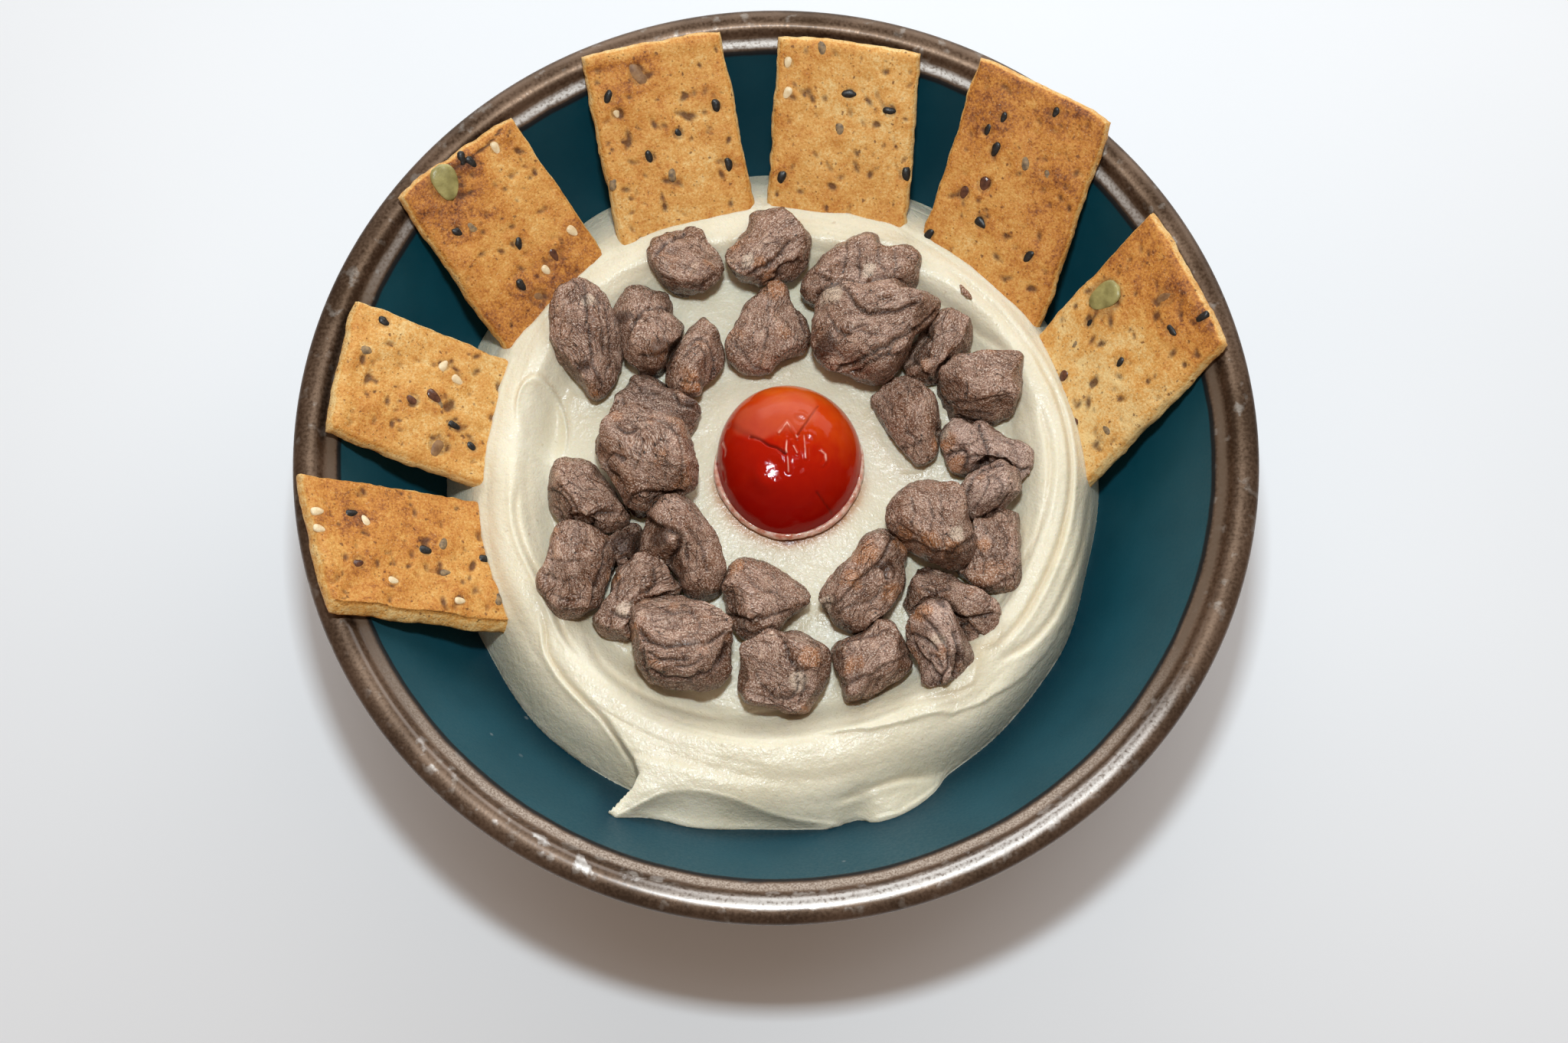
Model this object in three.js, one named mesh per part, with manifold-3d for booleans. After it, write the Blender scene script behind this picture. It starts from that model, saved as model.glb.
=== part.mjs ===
// A bowl of hummus: a wide glazed bowl, a swirled ring of hummus with a trailing tail, seven seeded
// crackers leaning on the rim, a ring of roast beef chunks and half a tomato in the middle.
// Millimetres, +Z up, origin at the centre of the bowl's foot, -Y is the side with the hummus tail.

import * as THREE from 'three';
import * as BufferGeometryUtils from 'three/addons/utils/BufferGeometryUtils.js';
import Module from 'manifold-3d';

const wasm = await Module();
wasm.setup();

// ---- Driving dimensions ----------------------------------------------------------------------

const GAP = 0.35;              // clearance between two pieces that touch

const BOWL_RADIUS = 105;       // outermost edge of the lip
const LIP_RADIUS = 98;         // crest of the lip, where the crackers lean
const LIP_HEIGHT = 64.6;
const MOUTH_RADIUS = 95;       // where the inner wall meets the lip's bevel
const MOUTH_HEIGHT = 59.5;
const FLOOR_RADIUS = 42;       // flat part of the inner floor
const FLOOR_HEIGHT = 8;
const WALL_CURVE = 1.85;       // exponent of the inner wall: higher is rounder below, steeper above
const FOOT_OUTER = 48;
const FOOT_INNER = 41;
const FOOT_HEIGHT = 3.2;
const SHELL_CURVE = 1.75;      // exponent of the outer wall
const ROUND_STEPS = 40;        // steps round the bowl
const WALL_STEPS = 6;          // steps up the inner wall
const SHELL_STEPS = 5;         // steps down the outer wall

const WELL_HEIGHT = 41;        // hummus in the well where the beef lies
const ISLAND_RISE = 1.2;       // smooth mound that carries the tomato
const ISLAND_RADIUS = 27;
const ISLAND_TOP = 0.4;        // level part of the mound, as a share of its radius
const WELL_BLEND = 2;          // width of the soft edge round the well
const SLUMP = 2;               // exponent of the outer slope: higher stays level longer, then drops
const HUMMUS_STEPS = 56;       // steps round the hummus
const HUMMUS_REACH = 92;       // the hummus skin is drawn this far out, then trimmed by the wall

const CRACKER_LENGTH = 52;
const CRACKER_THICKNESS = 3.4;
const CRACKER_PUFF = 0.35;     // depth of the cracker's unevenness
const CRACKER_WANDER = 0.25;   // how far its long edges wander
const CRACKER_BEVEL = 0.6;     // upper edge drawn in on each long side
const SEED_SINK = 0.1;         // depth of a seed's middle under the crust

const TOMATO_RADIUS = 16.5;
const TOMATO_LONGER = 1.065;   // its size along Y as a share of its width
const TOMATO_HEIGHT = 14;
const TOMATO_AT = [2.8, 1];
const TOMATO_SUNK = 2;         // part of the tomato below the hummus surface
const TOMATO_LIFT = 0.3;
const TOMATO_STEPS = 24;
const TOMATO_CREASE = 0.35;    // depth of the wrinkles round its middle

const BEEF_SINK = 2.5;         // depth that a chunk presses into the hummus
const BEEF_SLICES = 6;         // sliced faces on a chunk
const BEEF_SLICE_DEPTH = 0.85; // share of what lies beyond a slice that is cut off
const BEEF_LUMPS = 0.07;
const BEEF_TAPER = 0.3;
const BEEF_LEAN = 16;          // widest range of lean, in degrees

// ---- Small helpers ---------------------------------------------------------------------------

const rad = THREE.MathUtils.degToRad;

// Height of the bowl's inner surface at radius r.
function wallHeight(r) {
  const climb = Math.max(0, (r - FLOOR_RADIUS) / (MOUTH_RADIUS - FLOOR_RADIUS));
  return FLOOR_HEIGHT + (MOUTH_HEIGHT - FLOOR_HEIGHT) * climb ** WALL_CURVE;
}

// Repeatable uneven value between about -1 and 1 at a point.
function unevenness(x, y, z, seed) {
  const a = Math.sin(x * 1.31 + y * 0.77 + z * 1.13 + seed * 1.7);
  const b = Math.sin(x * -0.83 + y * 1.57 + z * 0.91 + seed * 2.9);
  const c = Math.sin(x * 2.17 + y * -1.93 + z * 2.41 + seed * 4.3);
  return (a + b + 0.6 * c) / 2.6;
}

// Small seeded random number source.
function randomSource(seed) {
  let state = seed * 2654435761 >>> 0;
  return () => {
    state = (state * 1664525 + 1013904223) >>> 0;
    return state / 4294967296;
  };
}

// A closed geometry as a solid, turned right side out.
function solidOf(geometry) {
  const bare = new THREE.BufferGeometry();
  bare.setAttribute('position', geometry.getAttribute('position').clone());
  if (geometry.index) bare.setIndex(geometry.index.clone());
  const merged = BufferGeometryUtils.mergeVertices(bare, 1e-4);
  const corners = merged.index.array;
  const triangles = [];
  for (let i = 0; i < corners.length; i += 3) {
    const [a, b, c] = [corners[i], corners[i + 1], corners[i + 2]];
    if (a !== b && b !== c && c !== a) triangles.push(a, b, c);
  }
  if (signedVolume(merged.getAttribute('position'), triangles) < 0) triangles.reverse();
  const vertProperties = new Float32Array(merged.getAttribute('position').array);
  const triVerts = new Uint32Array(triangles);
  return new wasm.Manifold(new wasm.Mesh({ numProp: 3, vertProperties, triVerts }));
}

function signedVolume(position, triangles) {
  const [a, b, c] = [new THREE.Vector3(), new THREE.Vector3(), new THREE.Vector3()];
  let volume = 0;
  for (let i = 0; i < triangles.length; i += 3) {
    a.fromBufferAttribute(position, triangles[i]);
    b.fromBufferAttribute(position, triangles[i + 1]);
    c.fromBufferAttribute(position, triangles[i + 2]);
    volume += a.dot(b.cross(c));
  }
  return volume;
}

// The largest body of a solid, as a geometry.
function geometryOf(solid) {
  const bodies = solid.decompose();
  bodies.sort((a, b) => b.volume() - a.volume());
  const mesh = bodies[0].getMesh();
  const geometry = new THREE.BufferGeometry();
  const stride = mesh.numProp;
  const position = new Float32Array(mesh.vertProperties.length / stride * 3);
  for (let i = 0; i < position.length / 3; i += 1) {
    position.set(mesh.vertProperties.subarray(i * stride, i * stride + 3), i * 3);
  }
  geometry.setAttribute('position', new THREE.BufferAttribute(position, 3));
  geometry.setIndex(new THREE.BufferAttribute(new Uint32Array(mesh.triVerts), 1));
  geometry.computeVertexNormals();
  return geometry;
}

// A solid of revolution about Z from [radius, height] pairs.
function turned(profile, steps) {
  const points = profile.map(([r, z]) => new THREE.Vector2(r, z));
  const geometry = new THREE.LatheGeometry(points, steps);
  return geometry.rotateX(Math.PI / 2);
}

// Centres a geometry on its origin and scales it to the given size.
function fitBox(geometry, length, width, height) {
  geometry.center();
  const size = new THREE.Vector3();
  geometry.boundingBox.getSize(size);
  return geometry.scale(length / size.x, width / size.y, height / size.z);
}

// A closed skin over rings of points; the first and last ring close to a point.
function ringSkin(rings) {
  const steps = rings[1].length;
  const position = [];
  const index = [];
  const starts = rings.map((ring) => {
    const start = position.length / 3;
    ring.forEach((p) => position.push(p.x, p.y, p.z));
    return start;
  });
  for (let k = 0; k + 1 < rings.length; k += 1) {
    for (let i = 0; i < steps; i += 1) {
      const j = (i + 1) % steps;
      const a = starts[k] + (rings[k].length > 1 ? i : 0);
      const b = starts[k] + (rings[k].length > 1 ? j : 0);
      const c = starts[k + 1] + (rings[k + 1].length > 1 ? i : 0);
      const d = starts[k + 1] + (rings[k + 1].length > 1 ? j : 0);
      if (a !== b) index.push(a, d, b);
      if (c !== d) index.push(a, c, d);
    }
  }
  const geometry = new THREE.BufferGeometry();
  geometry.setAttribute('position', new THREE.Float32BufferAttribute(position, 3));
  geometry.setIndex(index);
  return geometry;
}

// ---- Bowl ------------------------------------------------------------------------------------

// The inner wall from the floor's edge to the mouth, moved inwards by inset.
function innerWallProfile(inset) {
  const profile = [];
  for (let k = 0; k <= WALL_STEPS; k += 1) {
    const r = FLOOR_RADIUS + (MOUTH_RADIUS - FLOOR_RADIUS) * k / WALL_STEPS;
    const slope = wallHeight(r + 0.5) - wallHeight(r - 0.5);
    const length = Math.hypot(1, slope);
    profile.push([r - inset * slope / length, wallHeight(r) + inset / length]);
  }
  return profile;
}

function bowlGeometry() {
  const lip = [
    [LIP_RADIUS - 1.2, LIP_HEIGHT - 1.9],
    [LIP_RADIUS, LIP_HEIGHT],
    [LIP_RADIUS + 3.4, LIP_HEIGHT - 0.3],
    [BOWL_RADIUS - 1, LIP_HEIGHT - 1.4],
    [BOWL_RADIUS, LIP_HEIGHT - 2.8],
    [BOWL_RADIUS - 0.8, LIP_HEIGHT - 4.4],
    [BOWL_RADIUS - 3.8, LIP_HEIGHT - 6.4],
  ];
  const shell = [];
  const [shellRadius, shellHeight] = [BOWL_RADIUS - 6, LIP_HEIGHT - 9.6];
  for (let k = 0; k <= SHELL_STEPS; k += 1) {
    const up = 1 - k / SHELL_STEPS;
    const r = FOOT_OUTER + (shellRadius - FOOT_OUTER) * up;
    shell.push([r, FOOT_HEIGHT + (shellHeight - FOOT_HEIGHT) * up ** SHELL_CURVE]);
  }
  const foot = [
    [FOOT_OUTER - 0.6, 0],
    [FOOT_INNER, 0],
    [FOOT_INNER - 1, FOOT_HEIGHT],
    [0, FOOT_HEIGHT],
  ];
  const inside = [[0, FLOOR_HEIGHT], ...innerWallProfile(0)];
  return turned([...inside, ...lip, ...shell, ...foot, [0, FLOOR_HEIGHT]], ROUND_STEPS);
}

// ---- Hummus ----------------------------------------------------------------------------------

// The swirl at chosen angles (degrees, 0 is +X, 270 is the tail's side): radius where the well
// ends, radius where the crest begins, radius of the crest's outer shoulder, height of the crest,
// and radius where the hummus meets the bowl.
const SWIRL = [
  [0, 54, 61, 65, 47.5, 75],
  [30, 54, 60.5, 63, 47.5, 75.7],
  [60, 51, 57, 60, 47.5, 78.3],
  [92, 48, 54.5, 58, 47.3, 77.8],
  [120, 51, 57, 59.5, 47.5, 79.3],
  [150, 53, 58.5, 61, 47.5, 78],
  [182, 53, 59, 62, 48, 76.6],
  [210, 54, 61, 64.5, 48, 76.7],
  [232, 56, 64, 67.5, 48, 79],
  [246, 57, 66, 68.5, 48, 79.5],
  [262, 58, 66, 69, 48.5, 82.8],
  [282, 57, 64, 68, 47.5, 82.3],
  [300, 57, 63, 67, 47.5, 78.2],
  [325, 56, 62, 66, 47, 76.3],
  [345, 55, 61.5, 65.5, 47, 74.3],
];

// Furrows left by the spoon: start and end angle, radius at each, depth and half width.
const FURROWS = [
  { from: 176, to: 262, start: 56, end: 68, depth: 1.6, width: 1.9 },
  { from: 292, to: 385, start: 64, end: 66, depth: 1.5, width: 1.7 },
  { from: 284, to: 362, start: 66, end: 72, depth: 1.5, width: 1.4 },
  { from: 20, to: 110, start: 61, end: 57, depth: 0.9, width: 1.8 },
];

const TAIL_TIP = new THREE.Vector2(-37.2, -79);
const TAIL_NOTCH = new THREE.Vector2(-29.5, -70);
const TAIL_ROOT = new THREE.Vector2(-14, -74.4);
const TAIL_HEIGHT = 48.6;
const TAIL_SIDE_DROP = 4.5;    // steepness of the tail's notched side
const TAIL_FRONT_DROP = 1.15;  // steepness of the tail's front
const TAIL_SECTOR = [235, 275];
const TAIL_INNER_RADIUS = 64;

function swirlAt(angle) {
  const turn = ((angle % 360) + 360) % 360;
  const count = SWIRL.length;
  let k = 0;
  while (k < count - 1 && SWIRL[k + 1][0] <= turn) k += 1;
  const next = k + 1 < count ? SWIRL[k + 1] : [360, ...SWIRL[0].slice(1)];
  const t = THREE.MathUtils.smoothstep(turn, SWIRL[k][0], next[0]);
  const mixed = SWIRL[k].map((value, i) => THREE.MathUtils.lerp(value, next[i], t));
  const [, well, crest, shoulder, top, contact] = mixed;
  return { well, crest, shoulder, top, contact };
}

function furrowDepth(angle, r) {
  let depth = 0;
  FURROWS.forEach(({ from, to, start, end, depth: deepest, width }) => {
    const turn = angle < from - 1 ? angle + 360 : angle;
    if (turn < from || turn > to) return;
    const t = (turn - from) / (to - from);
    const centre = THREE.MathUtils.lerp(start, end, t);
    const fade = Math.min(1, 5 * t, 5 * (1 - t));
    depth += deepest * fade * Math.exp(-(((r - centre) / width) ** 2));
  });
  return depth;
}

// Distance of a point outside the line from a to b, on the line's right-hand side.
function outsideLine(p, a, b) {
  const along = b.clone().sub(a).normalize();
  return (p.x - a.x) * along.y - (p.y - a.y) * along.x;
}

// Height of the tail's wedge: flat on top, steep towards the notch, sloping to the front.
function tailHeight(x, y) {
  const p = new THREE.Vector2(x, y);
  const side = Math.max(0, outsideLine(p, TAIL_TIP, TAIL_NOTCH) * -1);
  const front = Math.max(0, outsideLine(p, TAIL_TIP, TAIL_ROOT));
  return TAIL_HEIGHT - TAIL_SIDE_DROP * side - TAIL_FRONT_DROP * front;
}

// Height of the hummus surface at a point in plan.
function hummusHeight(x, y) {
  const r = Math.hypot(x, y);
  const angle = (THREE.MathUtils.radToDeg(Math.atan2(y, x)) + 360) % 360;
  const { well, crest, shoulder, top, contact } = swirlAt(angle);
  const level = ISLAND_TOP * ISLAND_RADIUS;
  const floor = WELL_HEIGHT + ISLAND_RISE * (1 - THREE.MathUtils.smoothstep(r, level, ISLAND_RADIUS));
  const climb = THREE.MathUtils.smoothstep(r, well - WELL_BLEND, crest);
  let height = THREE.MathUtils.lerp(floor, top, climb) - furrowDepth(angle, r);
  const down = (r - shoulder) / (contact - shoulder);
  if (down > 0) height -= (top - wallHeight(contact)) * down ** SLUMP;
  const nearTail = angle > TAIL_SECTOR[0] && angle < TAIL_SECTOR[1] && r > TAIL_INNER_RADIUS;
  return nearTail ? Math.max(height, tailHeight(x, y)) : height;
}

// Radii of the surface's rings, closest where the swirl lies.
function hummusRadii() {
  const radii = [13, 26, 39, 50, 54, 58];
  for (let r = 61; r < 82; r += 2.2) radii.push(r);
  radii.push(84, 88, HUMMUS_REACH);
  return radii;
}

// The hummus with its upper surface drawn past the bowl's wall and its underside below the floor.
function hummusBlock() {
  const rings = [[new THREE.Vector3(0, 0, hummusHeight(0, 0))]];
  hummusRadii().forEach((r) => {
    const ring = [];
    for (let i = 0; i < HUMMUS_STEPS; i += 1) {
      const turn = 2 * Math.PI * i / HUMMUS_STEPS;
      const [x, y] = [r * Math.cos(turn), r * Math.sin(turn)];
      ring.push(new THREE.Vector3(x, y, Math.max(hummusHeight(x, y), FLOOR_HEIGHT)));
    }
    rings.push(ring);
  });
  rings.push(rings.at(-1).map((p) => new THREE.Vector3(p.x, p.y, 0)));
  rings.push([new THREE.Vector3(0, 0, 0)]);
  return ringSkin(rings);
}

// The space inside the bowl, a gap away from its wall.
function cavityGeometry() {
  const wall = innerWallProfile(GAP);
  const floor = [0, FLOOR_HEIGHT + GAP];
  const lid = [[wall.at(-1)[0], LIP_HEIGHT], [0, LIP_HEIGHT]];
  return turned([floor, ...wall, ...lid, floor], ROUND_STEPS);
}

// ---- Crackers --------------------------------------------------------------------------------

// Each cracker: middle of its outer edge in plan, heading inwards (degrees), plan distance to
// where it enters the hummus and its height there, width, and skew of its outer edge.
// Seeds: kind, distance from the outer edge, distance from the middle line.
const CRACKERS = [
  {
    outer: [-96.4, -25.6], heading: 3.7, reach: 35, sink: 44, width: 30.5, skew: -0.18, bevel: 1.8,
    seeds: [['sesame', 0.5, 2.3], ['sesame', 12, 6], ['nigella', 9, 8], ['flax', 9.5, -4.3],
      ['nigella', 26, 0.8], ['sesame', 33, -10.3], ['sesame', 18, -7.3]],
  },
  {
    outer: [-94, 15.2], heading: -10.8, reach: 33, sink: 45, width: 31, skew: -0.03,
    seeds: [['flax', 17.4, -2.2], ['flax', 22.2, 0.1], ['nigella', 28, -4.3], ['sesame', 22.5, 8],
      ['sesame', 26.5, 6], ['sunflower', 26, -10], ['nigella', 4.5, 4.7]],
  },
  {
    outer: [-71.6, 64.6], heading: -50.7, reach: 34, sink: 45.5, width: 32.3, skew: 0.02,
    seeds: [['pumpkin', 5.5, -5.5], ['nigella', 2.5, 0.8], ['nigella', 24.2, 0.4],
      ['nigella', 14, -9.8], ['sesame', 33, 2.2], ['sesame', 29.3, 12], ['sunflower', 36.6, -3]],
  },
  {
    outer: [-28.5, 92.7], heading: -77.4, reach: 38, sink: 45.5, width: 32.5, skew: 0.01,
    seeds: [['nigella', 10, -12], ['pumpkin', 7, -4.4], ['nigella', 21, 2], ['nigella', 16.7, 11.9],
      ['nigella', 24.8, -5.6], ['nigella', 30.2, 12.2]],
  },
  {
    outer: [16.6, 93.3], heading: -94.6, reach: 34.4, sink: 45.5, width: 32.8, skew: 0.05,
    seeds: [['nigella', 11, 1], ['nigella', 14.3, 10.4], ['nigella', 19.4, -0.7],
      ['nigella', 31.2, -13.4], ['sesame', 6, -13]],
  },
  {
    outer: [60.2, 79.8], heading: -110.5, reach: 38.5, sink: 45, width: 33.3, skew: 0.12,
    seeds: [['nigella', 9, -6.8], ['nigella', 5, 4.2], ['nigella', 12.7, -9.4], ['nigella', 16.2, -6.2],
      ['flax', 25, -6.2], ['nigella', 33.3, -4.1], ['nigella', 36.6, 9.1]],
  },
  {
    outer: [90.1, 35.1], heading: -139.7, reach: 32, sink: 44, width: 34.6, skew: 0.2,
    seeds: [['pumpkin', 17, -10.4], ['pumpkin', 8, -0.2], ['nigella', 24, -9], ['nigella', 10.6, 6.5],
      ['nigella', 24.5, 2.5], ['flax', 37, -4.8]],
  },
];

// Length, width and proud height of each seed kind.
const SEED_SIZES = {
  sesame: [3, 1.9, 0.9],
  nigella: [3, 1.8, 0.9],
  flax: [4.2, 2, 0.8],
  sunflower: [5, 2.6, 0.9],
  pumpkin: [8.4, 5.6, 1.3],
};

// Point on the bowl's lip crest above a line in plan, on the outer side.
function onLip(start, along) {
  const b = start.dot(along);
  const c = start.lengthSq() - LIP_RADIUS ** 2;
  return along.clone().multiplyScalar(-b - Math.sqrt(b * b - c)).add(start);
}

// Where a cracker lies: both long edges rest on the lip, the inner end is held by the hummus.
function leaningFrame({ outer, heading, reach, sink, width }) {
  const along = new THREE.Vector2(Math.cos(rad(heading)), Math.sin(rad(heading)));
  const across = new THREE.Vector2(-along.y, along.x);
  const start = new THREE.Vector2(...outer);
  const half = across.clone().multiplyScalar(width / 2);
  const left = onLip(start.clone().add(half), along);
  const right = onLip(start.clone().sub(half), along);
  const inner = along.clone().multiplyScalar(reach).add(start);
  const run = inner.clone().sub(left.clone().add(right).multiplyScalar(0.5)).dot(along);
  const pitch = Math.atan2(LIP_HEIGHT + GAP + CRACKER_THICKNESS - sink, run);
  const top = LIP_HEIGHT + GAP + CRACKER_THICKNESS / Math.cos(pitch);
  const a = new THREE.Vector3(left.x, left.y, top);
  const b = new THREE.Vector3(right.x, right.y, top);
  const c = new THREE.Vector3(inner.x, inner.y, sink);
  const normal = b.clone().sub(a).cross(c.clone().sub(a)).normalize();
  if (normal.z < 0) normal.negate();
  const rise = (x, y) => a.z - ((x - a.x) * normal.x + (y - a.y) * normal.y) / normal.z;
  const origin = new THREE.Vector3(start.x, start.y, rise(start.x, start.y));
  const forward = c.clone().sub(origin).normalize();
  const sideways = normal.clone().cross(forward);
  return new THREE.Matrix4().makeBasis(forward, sideways, normal).setPosition(origin);
}

// Height of a cracker's upper face above its middle plane at a point on it.
function crackerPuff(u, v, seed) {
  return CRACKER_PUFF * unevenness(u * 0.16, v * 0.22, 0, seed);
}

// The slab: puffed and beveled above, flat below, grown by extra all over.
function crackerSlab({ width, skew, bevel = CRACKER_BEVEL }, seed, extra) {
  const depth = CRACKER_THICKNESS + 2 * extra;
  const geometry = new THREE.BoxGeometry(CRACKER_LENGTH, width, depth, 6, 3, 1);
  const position = geometry.getAttribute('position');
  const longer = 1 + 2 * extra / CRACKER_LENGTH;
  const wider = 1 + 2 * extra / width;
  for (let i = 0; i < position.count; i += 1) {
    const [x, y] = [position.getX(i), position.getY(i)];
    const isTop = position.getZ(i) > 0;
    const slant = isTop ? 1 - 2 * (y < 0 ? bevel : CRACKER_BEVEL) / width : 1;
    const wander = CRACKER_WANDER * Math.sign(y) * unevenness(x * 0.25, y * 0.1, 3, seed);
    const outwards = 0.5 - x / CRACKER_LENGTH;
    const u = CRACKER_LENGTH / 2 + x * longer + outwards * skew * y * wider;
    const w = isTop ? crackerPuff(u, y, seed) + extra : -CRACKER_THICKNESS - extra;
    position.setXYZ(i, u, (y * slant + wander) * wider, w);
  }
  return geometry;
}

// A seed lying on the crust at (u, v), turned in its plane.
function seedGeometry(kind, u, v, seed, turn, extra) {
  const [length, width, proud] = SEED_SIZES[kind];
  const geometry = new THREE.SphereGeometry(1, 5, 3);
  geometry.rotateX(Math.PI / 2);
  geometry.scale(length / 2 + extra, width / 2 + extra, proud + extra);
  geometry.rotateZ(turn);
  return geometry.translate(u, v, crackerPuff(u, v, seed) - SEED_SINK);
}

// Slab and seeds in one solid, grown by extra all over.
function crackerSolid(cracker, seed, extra) {
  const random = randomSource(seed + 11);
  let solid = solidOf(crackerSlab(cracker, seed, extra));
  cracker.seeds.forEach(([kind, u, v]) => {
    const turn = Math.PI * (random() - 0.5);
    solid = solid.add(solidOf(seedGeometry(kind, u, v, seed, turn, extra)));
  });
  return solid;
}

// ---- Beef ------------------------------------------------------------------------------------

// Each chunk: place in plan, length, width, height, spin (degrees), squareness and lift where it
// lies on its neighbours. Later chunks in the list lie on earlier ones.
const BEEF = [
  [-32.6, -19.5, 13, 11, 10, 20, 2.6, 0],
  [-27.7, 12.6, 22, 14, 12, -8, 2.8, 0],
  [-30.9, -32.6, 20, 16.5, 12, 45, 2.6, 0],
  [47.5, -20, 21, 16, 12, 80, 3, 0],
  [39.5, -34, 23, 14.5, 12, -32, 3, 0],
  [37.4, 26.2, 20, 15, 13, 62, 4, 0],
  [-20.8, 47.3, 17.5, 15, 13, -20, 2.6, 0],
  [-2, 50.2, 22, 16.5, 14, 35, 3, 0],
  [19.4, 44.2, 27, 18, 16, 8, 3, 1],
  [-1.7, 30, 22, 18.5, 14, 70, 2.4, 0],
  [30.7, 8.5, 22, 15.5, 13, -62, 4, 0],
  [46, 15.1, 19.5, 14, 14, -6, 5, 0.5],
  [46.6, 1.4, 22, 15, 12, -18, 2.4, 0],
  [19, -29, 24, 16.5, 15, 62, 4, 0],
  [20.2, -46.6, 20, 14.5, 13, 45, 5, 0],
  [1.9, -49.4, 20, 17.5, 14, -15, 3.2, 0],
  [-2.5, -32.6, 21.5, 18, 14, -45, 2.8, 0],
  [-42.5, -9.6, 21, 16, 14, -42, 3, 0],
  [-43.6, 27.7, 26.5, 15.5, 15, -72, 3, 0],
  [-29.4, 30.8, 21, 15, 15, -60, 2.8, 0],
  [-18.2, 23.1, 19.5, 12.5, 12, 66, 2.6, 1.5],
  [-43.1, -26.9, 21.5, 17, 16, 74, 4, 1],
  [-20.4, -21.9, 23, 15.5, 16, -58, 3.4, 1.5],
  [-20.9, -43.1, 24.5, 21, 17, -18, 3.6, 1],
  [-28.5, -1.5, 25.5, 21.5, 18, -50, 2.9, 2],
  [21.1, 29.4, 30, 23, 18, 12, 3.2, 3],
  [34.4, -15.8, 23.5, 19.5, 16, -34, 3.4, 3],
  [46.6, -8.1, 15, 13, 13, 25, 2.6, 3],
  [36.5, -43.8, 20, 15, 13, -68, 2.6, 2],
];

// A rounded block with a few sliced faces, shaped by its own seed.
function beefGeometry(length, width, height, squareness, seed, extra) {
  const random = randomSource(seed * 7 + 3);
  const cuts = [];
  for (let k = 0; k < BEEF_SLICES; k += 1) {
    const normal = new THREE.Vector3(random() - 0.5, random() - 0.5, random() * 0.9 - 0.35);
    cuts.push({ normal: normal.normalize(), reach: 0.36 + 0.07 * random() });
  }
  const taper = (random() - 0.5) * BEEF_TAPER;
  const geometry = new THREE.BoxGeometry(1, 1, 1, 3, 3, 2);
  const position = geometry.getAttribute('position');
  const p = new THREE.Vector3();
  for (let i = 0; i < position.count; i += 1) {
    p.fromBufferAttribute(position, i);
    const size = p.toArray().reduce((sum, value) => sum + Math.abs(value) ** squareness, 0);
    p.multiplyScalar(0.5 / size ** (1 / squareness));
    cuts.forEach(({ normal, reach }) => {
      const over = p.dot(normal) - reach;
      if (over > 0) p.addScaledVector(normal, -BEEF_SLICE_DEPTH * over);
    });
    p.multiplyScalar(1 + BEEF_LUMPS * unevenness(p.x * 6, p.y * 6, p.z * 6, seed));
    position.setXYZ(i, p.x * (1 + taper * p.y), p.y, p.z);
  }
  return fitBox(geometry, length + 2 * extra, width + 2 * extra, height + 2 * extra);
}

// Where a chunk lies, a little sunk in the hummus and leaning a few degrees.
function beefFrame([x, y, , , height, spin, , lift], seed) {
  const random = randomSource(seed * 13 + 5);
  const z = hummusHeight(x, y) - BEEF_SINK + height / 2 + lift;
  const leanX = rad(BEEF_LEAN * (random() - 0.5));
  const leanY = rad(BEEF_LEAN * (random() - 0.5));
  const lean = new THREE.Euler(leanX, leanY, rad(spin), 'ZYX');
  return new THREE.Matrix4().makeRotationFromEuler(lean).setPosition(x, y, z);
}

// ---- Tomato ----------------------------------------------------------------------------------

// The half tomato, cut side down, with wrinkles round its middle.
function tomatoGeometry(extra) {
  const radius = TOMATO_RADIUS + extra;
  const height = TOMATO_HEIGHT + extra;
  const levels = [0.2, 0.45, 0.68, 0.86, 0.97, 1];
  const rings = [[new THREE.Vector3(0, 0, height - 0.3)]];
  levels.forEach((level) => {
    const ring = [];
    for (let i = 0; i < TOMATO_STEPS; i += 1) {
      const turn = 2 * Math.PI * i / TOMATO_STEPS;
      const r = radius * level * (1 + 0.012 * Math.sin(3 * turn + 1));
      const crease = TOMATO_CREASE * Math.exp(-((level - 0.3) ** 2) / 0.04) * Math.sin(5 * turn + 0.6);
      const z = height * (1 - level ** 2.6) ** 0.62 + (level < 0.8 ? crease : 0);
      ring.push(new THREE.Vector3(r * Math.cos(turn), TOMATO_LONGER * r * Math.sin(turn), z));
    }
    rings.push(ring);
  });
  const bottom = -TOMATO_SUNK - extra;
  const underside = rings.at(-1).map((p) => new THREE.Vector3(p.x * 0.97, p.y * 0.97, bottom));
  rings.push(underside, [new THREE.Vector3(0, 0, bottom)]);
  return ringSkin(rings);
}

function tomatoFrame() {
  const [x, y] = TOMATO_AT;
  return new THREE.Matrix4().makeTranslation(x, y, hummusHeight(x, y) + TOMATO_LIFT);
}

// ---- Materials -------------------------------------------------------------------------------

const glaze = new THREE.MeshStandardMaterial({ color: 0x5c4a3c, roughness: 0.3, metalness: 0.6 });
const dip = new THREE.MeshStandardMaterial({ color: 0xe9e2c8, roughness: 0.55, metalness: 0 });
const biscuit = new THREE.MeshStandardMaterial({ color: 0xc98d4b, roughness: 0.8, metalness: 0 });
const meat = new THREE.MeshStandardMaterial({ color: 0x756058, roughness: 0.6, metalness: 0 });
const tomatoSkin = new THREE.MeshStandardMaterial({ color: 0xa81e0a, roughness: 0.15, metalness: 0 });

// ---- Assembly --------------------------------------------------------------------------------

const hummusBowl = new THREE.Group();

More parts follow.
